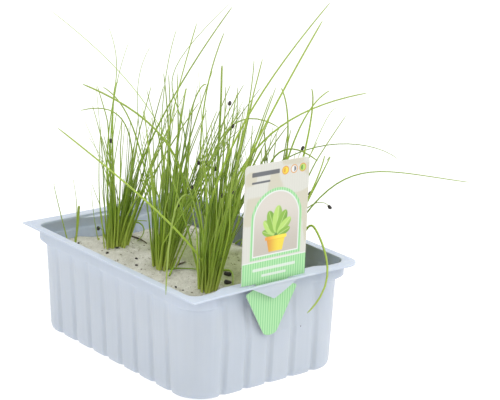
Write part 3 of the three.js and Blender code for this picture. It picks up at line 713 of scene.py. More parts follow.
# The leading leaves of each tuft, as pull points and tip from the crown's middle at root height.
LEADERS = [
    [
        [[0, 32, 85], [24, 18, 105], [15, 33, 142]],
        [[8, 32, 84], [35, 39, 128]],
        [[34, 5, 103], [-18, 16, 94]],
        [[-14, 9, 17], [-3, 14, 84]],
        [[11, 5, 67], [67, -31, 161]],
        [[17, 37, 105], [35, 51, 98]],
    ],
    [
        [[42, -14, 81], [-45, 23, 124]],
        [[9, 32, 99], [-7, 56, 110]],
        [[7, 23, 55], [54, 39, 148]],
        [[33, 27, 99], [55, 50, 102]],
    ],
    [
        [[10, -9, 20], [-57, 81, 96]],
        [[5, 19, 45], [1, -6, 30], [-14, 21, 123], [-48, -22, 15]],
        [[-3, 22, 72], [70, -25, 180]],
        [[11, 17, 41], [90, 5, 161]],
        [[21, 2, 79], [27, -14, 148]],
        [[17, 26, 82], [31, 55, 127]],
    ],
    [
        [[36, 7, 67], [-25, 108, 139]],
        [[47, 10, 112], [-14, 52, 72], [69, 29, 148]],
        [[11, 40, 80], [58, 75, 122]],
        [[-8, 51, 85], [32, 70, 114]],
        [[29, 21, 102], [41, 18, 97]],
    ],
    [
        [[23, 23, 86], [107, -21, 101]],
        [[-6, 29, 76], [17, 17, 145]],
        [[20, 25, 95], [33, 39, 117]],
        [[31, 5, 94], [28, 0, 129]],
        [[33, 26, 103], [49, 43, 94]],
        [[-6, 20, 38], [18, 28, 107], [46, -5, 83]],
        [[29, 8, 83], [83, -52, 85], [77, -87, 76]],
    ],
    [
        [[38, -31, 56], [6, -2, 43], [39, -56, 26], [-10, -56, -3]],
        [[48, -10, 84], [58, -29, 71], [99, -80, 68]],
        [[11, 29, 104], [34, -10, 75]],
        [[43, -1, 102], [32, -4, 121]],
        [[32, 21, 99], [67, 19, 110]],
        [[37, 11, 96], [35, 29, 114]],
        [[49, 3, 108], [51, -7, 106]],
        [[51, -14, 91], [51, 1, 70]],
        [[32, -12, 58], [44, -5, 76]],
    ],
]

# The leaves that hold a husk at their tip, given in the same way.
HUSKED = [
    [
        [[1, 4, 44], [4, 14, 71]],
        [[6, 1, 30], [21, 2, 48]],
        [[-12, 4, 22], [-11, 6, 16]],
    ],
    [
        [[8, 0, 32], [25, 1, 52]],
        [[4, -1, 27], [12, -2, 43]],
    ],
    [
        [[5, 3, 36], [17, 9, 58]],
        [[7, 2, 37], [23, 5, 60]],
    ],
    [],
    [
        [[7, 6, 60], [24, 19, 97]],
        [[7, 4, 51], [23, 14, 83]],
        [[-2, 4, 39], [-5, 13, 63]],
        [[2, 3, 36], [6, 9, 58]],
        [[3, 6, 36], [5, 17, 60]],
    ],
    [
        [[4, 5, 45], [14, 18, 73]],
        [[10, 2, 50], [34, 5, 80]],
        [[10, -2, 33], [33, -5, 53]],
        [[31, -4, 60], [35, -22, 48]],
    ],
]

# More long leaves in the same way, by tuft, that only this model has.
ADDED = {
    2: [[[-6, 20, 53], [-9, 28, 84]]],
}

# Rings of a leaf, by share of its length: crowded at the tip, which ends round.
SHARES = np.concatenate([np.linspace(0, 0.93, 20), [0.955, 0.972, 0.985, 0.994, 0.999]])
LEAF_SIDES = 7
LEAF_RADIUS = {"husked": 0.5, "added": 0.7, "fill": (0.56, 0.76), "young": (0.36, 0.54)}
LEAD_TONES = (0.3, 0.95)
LEAF_TONES = (0.05, 0.95)

# Radius of each leading leaf above its foot, and the share of it that is left at the tip.
LEAD_RADII = [
    [0.55, 0.5, 0.55, 0.5, 0.75, 0.75],
    [0.8, 0.66, 0.45, 0.65],
    [0.88, 0.66, 0.9, 0.8, 0.7, 0.55],
    [0.38, 0.5, 0.4, 0.3, 0.6],
    [0.85, 0.6, 0.8, 0.65, 0.6, 0.6, 0.52],
    [0.75, 0.55, 0.7, 0.8, 0.7, 0.7, 0.35, 0.55, 0.65],
]
LEAD_TIPS = [
    [0.25, 0.25, 0.6, 0.4, 0.5, 0.5],
    [0.7, 0.5, 0.8, 0.8],
    [0.55, 0.85, 0.4, 0.65, 0.5, 0.15],
    [0.45, 0.35, 0.6, 0.55, 0.7],
    [0.5, 0.65, 0.85, 0.4, 0.5, 0.7, 0.3],
    [0.85, 0.5, 0.6, 0.5, 0.55, 0.6, 0.3, 0.5, 0.6],
]

# Leaves unlike the rest, by tuft and number in it: radius and tone.
ODD_ONES = {
    (0, 8): (0.3, 0.5),
    (0, 19): (0.35, 0.6),
    (0, 26): (0.3, 0.6),
    (0, 29): (0.3, 0.6),
    (2, 0): (0.88, 0.95),
    (2, 1): (0.66, 0.3),
}

# How a leaf's radius runs: its swollen foot, its taper, and how sharply the tip rounds off.
FOOT_SWELL = 0.35
FOOT_REACH = 15.0
TAPER = 1.3
TIP_SHARE = 0.4
TIP_ROUND = 60

# How far it sways, in waves that swing so many radians and ease off by a share to the tip, and
# how far and from where along it a filling leaf is kinked.
SWAY = 0.7
SWAY_WAVES = (4, 9)
SWAY_EASE = 0.6
KINK = 9.0
KINK_AT = (0.3, 0.8)

# Young leaves: how many, their lengths, with short ones more common by a power, their lean in
# degrees and their disc of roots; then how each leans, turns and droops, and where it bends.
YOUNG = {"count": 19, "short": 34, "long": 110, "power": 1.4, "lean": 12, "disc": 6.0}
YOUNG_LEAN = {"share": (0.4, 1.0), "aside": (-0.7, 0.7), "twist": (-1, 1), "droop": 1.8}
YOUNG_PULL = 0.55

# Further bunches of young leaves, by tuft: how many, which way they lean, and how far beside
# the crown they stand.
BUNCHES = {
    0: (14, (0.02, -0.02, 0.0), (-3.0, 2.4, 0.0)),
    1: (6, (0.24, -0.19, 0.0), (2.4, -1.9, 0.0)),
    3: (16, (0.30, -0.24, 0.0), (0.0, 0.0, 0.0)),
    4: (12, (0.24, -0.19, 0.0), (0.0, 0.0, 0.0)),
}
TUFT_ROLL = 60
SOFT_EDGE = 80


def dice(seed):
    """Even rolls from 0 to 1: a counter that steps by a fixed odd number, and whose bits are
    mixed by shifts and two multiplications within 32 bits."""
    whole = 0xFFFFFFFF
    state = seed
    while True:
        state = (state + 0x6D2B79F5) & whole
        mixed = (state ^ (state >> 15)) * (1 | state) & whole
        mixed = (mixed + (mixed ^ (mixed >> 7)) * (61 | mixed)) & whole ^ mixed
        yield (mixed ^ (mixed >> 14)) / 2**32


def between(low, high, share):
    """The value at a share of the way from low to high."""
    return low + (high - low) * share


def heading(bearing, lean):
    """A unit step at a bearing round the crown and a lean from upright."""
    out = math.sin(lean)
    return np.array([out * math.cos(bearing), out * math.sin(bearing), math.cos(lean)])


def along(route, shares):
    """Points of a route at shares of its run: a Bezier curve, its pull points drawn together
    pair by pair until one is left."""
    row = [point + 0 * shares[:, None] for point in np.asarray(route, float)]
    while len(row) > 1:
        row = [a + (b - a) * shares[:, None] for a, b in zip(row, row[1:])]
    return row[0]


def route_from(middle, pulls):
    """A route from a crown through pull points to its tip. Its root lies a little way out in
    the disc of roots, on the side that the leaf leaves to."""
    reach = math.hypot(pulls[0][0], pulls[0][1]) or 1
    out = LEAD_ROOT * min(ROOT_DISC, reach) / reach
    root = [pulls[0][0] * out, pulls[0][1] * out, 0]
    return np.array([root, *pulls]) + middle


def fill_routes(middle, plant, placed):
    """Filling leaves of a tuft: roots spread over the disc like seeds in a flower head, each
    leaf leaning out the way its root lies, turned on until it is clear of the other plants."""
    roll = dice(FILL["seed"] + plant)
    start = next(roll) * 2 * math.pi
    shares = np.linspace(0, 1, KEEP["points"] + 1)
    others = np.concatenate([along(route, shares) for owner, route in placed if owner != plant])
    routes = []
    for number in range(FILL["count"]):
        share = math.sqrt((number + 0.5) / FILL["count"])
        angle = start + number * GOLDEN_TURN
        length = between(FILL["short"], FILL["long"], next(roll))
        own = between(LEAN_SHARE["inner"], 1, share)
        own *= between(LEAN_SHARE["least"], LEAN_SHARE["most"], next(roll))
        lean = math.radians(FILL["lean"] * own)
        droop = math.radians(FILL["droop"] * next(roll))
        turn = math.radians(FILL["turn"] * (next(roll) - 0.5))
        root = middle + ROOT_DISC * share * heading(angle, math.pi / 2)
        for tried in range(KEEP["tries"]):
            bearing = angle + turn + tried * KEEP["turn"]
            pull = root + (heading(bearing, lean) + TO_LIGHT) * length / 2
            tip = pull + (heading(bearing + turn, lean + droop) + TO_LIGHT) * length / 2
            points = along([root, pull, tip], shares)
            inside = np.all(np.abs(points[:, :2]) < [ROOM["half_x"], ROOM["half_y"]], axis=1)
            free = (points[:, 1] > ROOM["front"]) & (inside | (points[:, 2] > ROOM["low"]))
            gaps = (points**2).sum(axis=1)[:, None] + (others**2).sum(axis=1)
            if free.all() and (gaps - 2 * points @ others.T).min() > KEEP["apart"] ** 2:
                routes.append(np.array([root, pull, tip]))
                break
    return routes


def young_routes(middle, rng, count, light):
    """Short upright leaves that stand round and between the others, and only thicken the foot
    of the tuft: roots even over a disc, each leaf bowing out a little and leaning to a light."""
    routes = []
    for _ in range(count):
        angle = rng.uniform(0, 2 * math.pi)
        share = math.sqrt(rng.uniform())
        length = between(YOUNG["short"], YOUNG["long"], rng.uniform() ** YOUNG["power"])
        lean = math.radians(YOUNG["lean"] * share * rng.uniform(*YOUNG_LEAN["share"]))
        bearing = angle + rng.uniform(*YOUNG_LEAN["aside"])
        root = middle + YOUNG["disc"] * share * heading(angle, math.pi / 2)
        pull = root + (heading(bearing, lean) + light) * length * YOUNG_PULL
        last = heading(bearing + rng.uniform(*YOUNG_LEAN["twist"]), lean * YOUNG_LEAN["droop"])
        tip = pull + (last + light) * length * (1 - YOUNG_PULL)
        routes.append(np.array([root, pull, tip]))
    return routes


def tubes(routes, radii, tips, tones, rng, sway, kink):
    """Leaves as closed tubes along their routes: rings square to the route, swollen at the
    foot, thinner to the tip by a power of the share, and rounded off there. The whole sways a
    little, and bends off by a straight kink somewhere along its upper part. Also gives the
    marks for the colours: each ring's share of the leaf, its way from the root in decimetres,
    and the leaf's tone."""
    count = len(routes)
    spine = np.array([along(route, SHARES) for route in routes])
    phase = rng.uniform(0, 2 * math.pi, (count, 1, 2))
    waves = rng.uniform(*SWAY_WAVES, (count, 1, 2))
    share = SHARES[:, None]
    eased_off = share * (1 - SWAY_EASE * share)
    spine[..., :2] += sway * eased_off * np.sin(waves * share + phase)
    turned = rng.normal(0, 1, (count, 1, 2)) * np.asarray(kink).reshape(-1, 1, 1)
    spine[..., :2] += turned * np.maximum(share - rng.uniform(*KINK_AT, (count, 1, 1)), 0)
    ahead = np.gradient(spine, axis=1)
    way = np.concatenate([spine[:, :1] * 0, np.diff(spine, axis=1)], axis=1)
    way = np.cumsum(np.linalg.norm(way, axis=-1), axis=1)
    bends = [np.cross(route[1] - route[0], route[-1] - route[0]) for route in routes]
    side = np.array([bend if np.linalg.norm(bend) > 1 else [1.0, 0, 0] for bend in bends])
    out = np.cross(ahead, side[:, None])
    out /= np.linalg.norm(out, axis=-1, keepdims=True)
    across = np.cross(ahead, out)
    across /= np.linalg.norm(across, axis=-1, keepdims=True)
    swell = 1 + FOOT_SWELL * np.exp(-((way / FOOT_REACH) ** 2))
    taper = 1 - (1 - np.reshape(tips, (-1, 1))) * SHARES**TAPER
    radius = np.reshape(radii, (-1, 1)) * swell * taper * np.sqrt(1 - SHARES**TIP_ROUND)
    angle = np.linspace(0, 2 * math.pi, LEAF_SIDES, endpoint=False)[:, None]
    around = np.cos(angle) * out[:, :, None] + np.sin(angle) * across[:, :, None]
    points = spine[:, :, None] + radius[:, :, None, None] * around
    flat = 0 * points[..., 0]
    tone = np.reshape(tones, (-1, 1, 1)) + flat
    return points, {"share": [share + flat], "foot": [way[:, :, None] / 100 + flat], "tone": [tone]}


LEAF_GREENS = [(0.1, (0.090, 0.160, 0.010)), (0.5, (0.20, 0.32, 0.017)), (0.9, (0.38, 0.53, 0.055))]
TIP_COLOUR = (0.30, 0.37, 0.085, 1.0)
FOOT_COLOUR = (0.46, 0.54, 0.10, 1.0)

# How far a leaf takes its tip's colour by share of its length, and its foot's by decimetres.
TIP_FADE = [(0.5, (0, 0, 0)), (1.0, (0.7, 0.7, 0.7))]
FOOT_FADE = [(0.04, (0.85, 0.85, 0.85)), (0.1, (0.42, 0.42, 0.42)), (0.3, (0, 0, 0))]


def leaf_material():
    """Leaf: fresh green that differs from leaf to leaf, pale where it comes out of the soil and
    duller at the tip, with fine long streaks and the soft shine of a waxy skin."""
    material, tree, shader = nodes_of("leaves")
    streak = clouds(tree, place_in(tree, (2200.0, 2200.0, 45.0)), 1.0, 2.0)
    colour = ramp(tree, between_values(tree, 0.3, mark_on(tree, "tone"), streak), LEAF_GREENS)
    colour = layer(tree, ramp(tree, mark_on(tree, "share"), TIP_FADE), colour, TIP_COLOUR)
    colour = layer(tree, ramp(tree, mark_on(tree, "foot"), FOOT_FADE), colour, FOOT_COLOUR)
    feed(
        tree,
        shader,
        Base_Color=colour,
        Roughness=0.42,
        Specular_IOR_Level=0.45,
        Subsurface_Weight=0.2,
        Subsurface_Radius=(0.7, 1.0, 0.3),
        Subsurface_Scale=0.0012,
    )
    return material


# A husk: its length and half width, and where its rings lie and how wide they are.
HUSK_LENGTH = 3.4
HUSK_HALF = 1.15
HUSK_RINGS = np.array([[-0.46, 0.5], [-0.3, 0.9], [0.0, 1.0], [0.28, 0.82], [0.45, 0.4]])
HUSK_SIDES = 7
ASIDE = np.array([1e-6, 0.0, 0.0])
HUSK_ROUGH = (0.75, 1.15)
HUSK_TONES = [(0.4, (0.010, 0.009, 0.008)), (0.75, (0.06, 0.045, 0.03))]


def husks_at(tips, aheads, rng, size=1.0):
    """Husks: rings of points round the leaf's last stretch, widest in the middle, each point's
    distance drawn at random so that the faces are angular. The first point lies square to the
    way ahead and to upright, a hair aside in case that way is upright too."""
    side = np.cross(aheads, [0.0, 0.0, 1.0]) + ASIDE
    side /= np.linalg.norm(side, axis=-1, keepdims=True)
    across = np.cross(aheads, side)
    angle = np.linspace(0, 2 * math.pi, HUSK_SIDES, endpoint=False)[:, None]
    around = np.cos(angle) * side[:, None, None] + np.sin(angle) * across[:, None, None]
    rough = rng.uniform(*HUSK_ROUGH, (len(tips), len(HUSK_RINGS), HUSK_SIDES, 1))
    lift = HUSK_RINGS[:, 0, None, None] * HUSK_LENGTH * aheads[:, None, None]
    bulge = HUSK_HALF * HUSK_RINGS[:, 1, None, None] * rough * around
    return tips[:, None, None] + size * (lift + bulge)


def husk_material():
    """Husk: matt black with brown patches where the skin is worn."""
    material, tree, shader = nodes_of("husks")
    patch = clouds(tree, place_in(tree), 900.0, 3.0)
    feed(tree, shader, Base_Color=ramp(tree, patch, HUSK_TONES), Roughness=0.6)
    return material


middles = np.column_stack([CROWNS, np.full(len(CROWNS), ROOT_Z)])
placed = []
for plant, middle in enumerate(middles):
    placed += [(plant, route_from(middle, pulls)) for pulls in LEADERS[plant]]
leads = len(placed)
for plant, middle in enumerate(middles):
    placed += [(plant, route_from(middle, pulls)) for pulls in HUSKED[plant]]
husk_end = len(placed)
for plant, middle in enumerate(middles):
    placed += [(plant, route) for route in fill_routes(middle, plant, placed)]

green = leaf_material()
black = husk_material()
for plant, middle in enumerate(middles):
    rng = np.random.default_rng(TUFT_ROLL + plant)
    long_ones = [route for owner, route in placed[:husk_end] if owner == plant]
    fills = [route for owner, route in placed[husk_end:] if owner == plant]
    added = [route_from(middle, pulls) for pulls in ADDED.get(plant, [])]
    young = young_routes(middle, rng, YOUNG["count"], TO_LIGHT)
    if plant in BUNCHES:
        count, light, aside = BUNCHES[plant]
        young += young_routes(middle + aside, rng, count, light)
    routes = long_ones + fills + young + added
    longs = len(long_ones)
    radii = np.concatenate(
        [
            LEAD_RADII[plant],
            np.full(len(HUSKED[plant]), LEAF_RADIUS["husked"]),
            rng.uniform(*LEAF_RADIUS["fill"], len(fills)),
            rng.uniform(*LEAF_RADIUS["young"], len(young)),
            np.full(len(added), LEAF_RADIUS["added"]),
        ]
    )
    tones = rng.uniform(*LEAF_TONES, len(routes))
    tones[:longs] = rng.uniform(*LEAD_TONES, longs)
    for (owner, number), (radius, tone) in ODD_ONES.items():
        if owner == plant:
            radii[number], tones[number] = radius, tone
    kinks = np.full(len(routes), KINK)
    kinks[:longs] = 0
    tips = np.full(len(routes), TIP_SHARE)
    tips[: len(LEAD_TIPS[plant])] = LEAD_TIPS[plant]
    points, marks = tubes(routes, radii, tips, tones, rng, SWAY, kinks)
    tuft = shells(f"tuft_{plant + 1}_leaves", points, **marks)
    smooth(tuft, SOFT_EDGE)
    tuft.data.materials.append(green)
    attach(tuft, "root")
    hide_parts(f"tuft_{plant + 1}")
    capped = [route for owner, route in placed[leads:husk_end] if owner == plant]
    if capped:
        tips = np.array([route[-1] for route in capped])
        aheads = np.array([route[-1] - route[-2] for route in capped])
        aheads /= np.linalg.norm(aheads, axis=-1, keepdims=True)
        husks = shells(f"tuft_{plant + 1}_husks", husks_at(tips, aheads, rng))
        husks.data.materials.append(black)
        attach(husks, "root")
        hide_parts(f"tuft_{plant + 1}")

# ------------------------------------------------------------------------- the seedlings
# Three late seedlings by the back corner: one or two thread-thin leaves each, from a tiny
# pale bulb that stands in the soil.

SEEDLINGS = [
    ([-40.5, 78], [[[-9, 7, 46], [-7, 6, 41]]]),
    ([-36, 76.7], [[[2, 0, 14], [3, 0, 26]], [[3, 0, 25], [-2, 0, 46]]]),
    ([-22, 70], [[[-5, 0, 21], [-6, 0, 40]]]),
]
BULB = {"radius": 1.5, "bottom": -4.0, "top": 3.6, "tip": 0.3}
SEEDLING_RADII = [[0.35], [0.5, 0.35], [0.28]]
SEEDLING_TIPS = [[0.3], [1.7, 0.3], [0.3]]
SEEDLING_TONES = (0.55, 0.9)
SEEDLING_ROLL = 90

for number, (at, leaves) in enumerate(SEEDLINGS):
    rng = np.random.default_rng(SEEDLING_ROLL + number)
    root = np.array([*at, ROOT_Z])
    bulb = np.array([root + [0, 0, BULB["bottom"]], root, root + [0, 0, BULB["top"]]])
    routes = [bulb] + [np.array([root, *(root + np.array(pulls))]) for pulls in leaves]
    radii = np.array([BULB["radius"] / (1 + FOOT_SWELL), *SEEDLING_RADII[number]])
    tips = [BULB["tip"], *SEEDLING_TIPS[number]]
    points, marks = tubes(routes, radii, tips, 0 * radii, rng, SWAY / 3, 0 * radii)
    marks["tone"][0] += rng.uniform(*SEEDLING_TONES, (len(routes), 1, 1))
    piece = shells(f"seedling_{number + 1}_leaves", points, **marks)
    smooth(piece, SOFT_EDGE)
    piece.data.materials.append(green)
    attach(piece, "root")
    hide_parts(f"seedling_{number + 1}")

# ---------------------------------------------------------------------------- the litter
# What has come to lie on the soil: black seeds that never sprouted, dry brown leaves and a
# twig, and green leaf ends that curl down to the crust. Loose, or fallen where they grew.

# Seeds and two chips of bark: x, y, size as a share of a husk's, and bearing in degrees.
SEEDS = [
    (-36.3, 72.5, 0.6, 30),
    (-34.5, 41.6, 0.8, 20),
    (-24.9, 44.4, 0.7, -50),
    (-26.4, 20.5, 0.65, -70),
    (-32.5, 11.8, 0.6, -30),
    (-35.4, -34.6, 0.6, 70),
    (-34.7, -41.1, 0.5, 10),
    (-3.0, 30.0, 0.6, 80),
    (6.7, -32.6, 1.5, -45),
    (-2.5, -44.7, 1.5, -55),
]

# Fallen leaves: routes as x, y and height over the soil; then radius, blunt share and tone.
DRY = [
    ([[-3, 66, 0.6], [0, 55, 1.0], [-2, 43, 0.6]], 0.55, 0.6, 0.12),
    ([[-7, 4, 2.6], [-13, 0, 0.6]], 0.5, 0.6, 0.1),
    ([[-11, -3, 0.8], [-3, -1, 0.8]], 0.45, 0.6, 0.15),
    ([[-15, -3, 0.6], [-7, 3, 2.6]], 0.45, 0.6, 0.1),
]
FRESH = [
    ([[-20, -6, 0.6], [-9, -13, 1.6], [1, -25, 1.4], [-2, -39, 0.6]], 0.4, 0.6, 0.35),
    ([[7, -27, 0.3], [12, -36, 4], [0, -45, 2], [-4, -52, 0.2]], 0.5, 0.7, 0.55),
    ([[2, 68, 7], [4, 60, 13], [5, 48, 7], [-4, 52, 0.3]], 0.5, 0.6, 0.55),
    ([[2, 71, 7], [-1, 62, 12], [8, 57, 11]], 0.45, 0.6, 0.75),
    ([[-26, -15, 0.4], [-20, -10, 3], [-17, -11, 9]], 0.5, 0.5, 0.6),
    ([[-38.5, 73.5, -1], [-38, 73.5, 2], [-38, 73.8, 4.5]], 0.45, 0.7, 0.8),
    ([[56, 23, 0.5], [58, 19, 6], [53, 9, 7], [50, 10, 0.3]], 0.45, 0.7, 0.7),
]
DRY_TONES = [(0.1, (0.025, 0.02, 0.015)), (0.5, (0.16, 0.12, 0.06)), (0.9, (0.40, 0.33, 0.18))]
LITTER_ROLL = 70
SEEDS_ROLL = 72


def dry_material():
    """Dry leaf: dark to straw brown from leaf to leaf, blotched, and quite matt."""
    material, tree, shader = nodes_of("dry_leaves")
    blotch = clouds(tree, place_in(tree), 350.0, 3.0)
    tone = between_values(tree, 0.35, mark_on(tree, "tone"), blotch)
    feed(tree, shader, Base_Color=ramp(tree, tone, DRY_TONES), Roughness=0.8)
    return material


def over_soil(route):
    """A route's points lifted from the soil's height below them."""
    x, y, lift = np.array(route, float).T
    return np.column_stack([x, y, soil_height(x, y) + lift])


for name, fallen, look in (("dry", DRY, dry_material()), ("fresh", FRESH, green)):
    rng = np.random.default_rng(LITTER_ROLL)
    routes = [over_soil(route) for route, *_ in fallen]
    radii, tips, tones = np.array([rest for _, *rest in fallen]).T
    points, marks = tubes(routes, radii, tips, tones, rng, SWAY / 2, 0 * radii)
    marks["foot"] = [1 + 0 * marks["foot"][0]]
    piece = shells(f"{name}_leaf_ends", points, **marks)
    smooth(piece, SOFT_EDGE)
    piece.data.materials.append(look)
    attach(piece, "root")

x, y, size, bearing = np.array(SEEDS).T
spots = np.column_stack([x, y, soil_height(x, y) + size * HUSK_HALF / 2])
bearing = np.radians(bearing)
aheads = np.column_stack([np.cos(bearing), np.sin(bearing), 0 * bearing])
size = size[:, None, None, None]
seeds = shells("fallen_seeds", husks_at(spots, aheads, np.random.default_rng(SEEDS_ROLL), size))
seeds.data.materials.append(black)
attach(seeds, "root")

# ----------------------------------------------------------------------------- the label
# A plant label die-cut from thin glossy plastic sheet and printed in colour: a panel above the
# rim, and below it a pointed stake, green striped as the panel's foot, that is pushed down in
# the slot behind the tongue. Its shoulders catch under the rim.

PANEL = {"left": -26.1, "right": 23.0, "bottom": 70.3, "top": 145.0, "round": 3.0}
SHEET_Y = -88.0
SHEET_THICK = 0.7
LEAN = math.radians(0.9)

# The stake's outline as half widths and heights, and the points that pull its bends round.
STAKE_X = -2.5
STAKE_FOOT = ((0, 35.0), (4.4, 35.1), (5.6, 37.6))
BARB = ((19.0, 62.4), (20.0, 63.6), (19.0, 64.6))
SHOULDER = ((19.0, 64.6), (13.2, 66.6), (12.2, 68.2))
BEND_POINTS = 12

# The stake's first row and the step to the next; the panel's rows, and how far under its top
# the last one lies; columns of the printed side and of the back.
STAKE_ROWS = (35.05, 0.5)
PANEL_ROWS = 298
PANEL_END = 0.02
FRONT_COLUMNS = 196
BACK_COLUMNS = 24
LABEL_SHARP = 40

# Colours of the print.
CREAM = (0.595, 0.595, 0.54)
BLOTCH = (0.54, 0.515, 0.405)
BARE = (0.66, 0.66, 0.62)
BAND_GREEN = np.array([(0.24, 0.55, 0.255), (0.405, 0.68, 0.365)])
WHITE = (0.70, 0.715, 0.70)
INK = (0.075, 0.085, 0.105)
GROUND = (0.60, 0.565, 0.51)
GROUND_SHADE = {"share": 0.12, "heights": (50, 20)}
SUNNY = ((0.76, 0.60, 0.06), (0.62, 0.27, 0.04))
POT_SHADE = (0.52, 0.26, 0.04)
LEAFY = ((0.23, 0.42, 0.06), (0.42, 0.62, 0.15), (0.10, 0.24, 0.04))
RIB = (0.55, 0.70, 0.30)

# Layout of the print in millimetres from the panel's lower left corner.
BAND_TOP = 13.5
BAND_LINE = 0.6
BAND_SOFT = 0.15
STRIPE = 1.85
STRIPE_EDGE = 2.5
LINING = 0.018
BLOTCHES = {"size": 9.0, "roll": 81, "edge": (0.05, 0.3), "share": 0.85}
WINDOW = {"middle": 25.0, "half": 17.0, "foot": 17.5, "spring": 39.0}
BORDER = {"green": 2.6, "white": 0.8}
POT = {"middle": 25.0, "foot": 18.6, "top": 28.0, "half": 7.4, "taper": 2.2, "lip": 1.8, "over": 0.9}
POT_RIM = 0.4
POT_LINE = 0.25

# The picture's leaves: bearing and reach of each; then where a leaf's middle lies and its half
# length and half width, as shares of its reach, and the half widths of stem and rib.
LEAF_FAN = [(-68, 11), (-42, 14), (-20, 17), (4, 18.5), (25, 16.5), (47, 14.5), (70, 11)]
BLADE = {"middle": 0.58, "long": 0.46, "wide": 0.2, "rib_long": 0.4, "sharpness": 2.6}
STEM_HALF = 0.32
RIB_HALF = 0.16
LEAF_SHADE = {"reach": 1.6, "share": 0.45}
RIB_SHARE = 0.8

BARS = [((5, 26), (67.4, 70.2)), ((5, 19), (63.0, 64.3))]
BAND_BARS = [((8, 41), (7.6, 9.5)), ((15, 34), (3.6, 5.2))]

# Discs: middle across, colour of their face and of their filled half, and which half that is.
DISCS = [
    (30.5, SUNNY[0], SUNNY[1], 1),
    (37.2, WHITE, INK, -1),
    (43.9, LEAFY[1], LEAFY[2], 1),
]
DISC = {"height": 68.5, "radius": 2.7, "ring": 0.55, "gap": 1.1}


def bend(start, pull, end):
    """A rounded corner of the outline: a quadratic curve as pairs of half width and height."""
    t = np.linspace(0, 1, BEND_POINTS)[:, None]
    return (1 - t) ** 2 * np.array(start) + 2 * t * (1 - t) * np.array(pull) + t**2 * np.array(end)


def stake_half(z):
    """Half width of the stake at a height, read off its outline: rounded point, straight
    taper, rounded barbs, hollow shoulders and neck."""
    neck = [[SHOULDER[-1][0], PANEL["bottom"]]]
    outline = np.concatenate([bend(*STAKE_FOOT), bend(*BARB), bend(*SHOULDER), neck])
    return np.interp(z, outline[:, 1], outline[:, 0])


def laid(colours, colour, cover):
    """Ink laid over what is printed so far, where its cover from 0 to 1 says."""
    return colours + (np.asarray(colour) - colours) * np.clip(cover, 0, 1)[..., None]


def inside(distance, soft=0.16):
    """Cover of a shape from the signed distance to its edge, less than nought inside it."""
    return 1 - smoothstep(-soft, soft, distance)


def box_distance(u, w, across, up, round_off=0.5):
    """Signed distance to a rectangle with rounded corners, given by its two ranges."""
    du = np.abs(u - np.mean(across)) - (across[1] - across[0]) / 2 + round_off
    dw = np.abs(w - np.mean(up)) - (up[1] - up[0]) / 2 + round_off
    out = np.hypot(np.maximum(du, 0), np.maximum(dw, 0))
    return out + np.minimum(np.maximum(du, dw), 0) - round_off


def window_distance(u, w):
    """Signed distance to the arched window: a half circle over a square foot."""
    across = u - WINDOW["middle"]
    arch = np.hypot(across, w - WINDOW["spring"]) - WINDOW["half"]
    foot = np.maximum(np.abs(across) - WINDOW["half"], WINDOW["foot"] - w)
    return np.where(w > WINDOW["spring"], arch, foot)


def pot_plant(colours, u, w):
    """The picture: a fan of broad leaves over a plain yellow pot that shades to orange on one
    side. A leaf is an ellipse that points away from the pot, on a thin stem, darker on one
    half and with a pale rib along its middle."""
    across = u - POT["middle"]
    for number, (bearing, length) in enumerate(LEAF_FAN):
        turn = math.radians(bearing)
        away = across * math.sin(turn) + (w - POT["top"]) * math.cos(turn)
        aside = across * math.cos(turn) - (w - POT["top"]) * math.sin(turn)
        middle, long, wide = (length * BLADE[key] for key in ("middle", "long", "wide"))
        leaf = (np.hypot((away - middle) / long, aside / wide) - 1) * BLADE["sharpness"]
        stem = np.maximum(np.abs(aside) - STEM_HALF, np.abs(away - middle / 2) - middle / 2)
        rib_long = length * BLADE["rib_long"]
        rib = np.maximum(np.abs(aside) - RIB_HALF, np.abs(away - middle) - rib_long)
        shade = LEAF_SHADE["share"] * smoothstep(0.0, LEAF_SHADE["reach"], aside)
        colours = laid(colours, LEAFY[2], inside(stem))
        colours = laid(colours, LEAFY[number % 2], inside(leaf))
        colours = laid(colours, LEAFY[2], shade * inside(leaf))
        colours = laid(colours, RIB, RIB_SHARE * inside(rib))
    height = POT["top"] - POT["foot"]
    narrowing = POT["taper"] * (POT["top"] - w) / height
    up = np.abs(w - (POT["top"] + POT["foot"]) / 2) - height / 2
    body = np.maximum(np.abs(across) - POT["half"] + narrowing, up)
    half = POT["half"] + POT["over"]
    lip = box_distance(across, w, (-half, half), (POT["top"] - POT["lip"], POT["top"] + POT_RIM))
    side = smoothstep(-POT["half"], POT["half"] * 0.4, across)[..., None]
    paint = np.array(SUNNY[1]) * (1 - side) + np.array(SUNNY[0]) * side
    colours = laid(colours, paint, inside(body))
    colours = laid(colours, POT_SHADE, 0.5 * inside(body) * inside(np.abs(lip) - POT_LINE))
    return laid(colours, paint * 1.12, inside(lip))


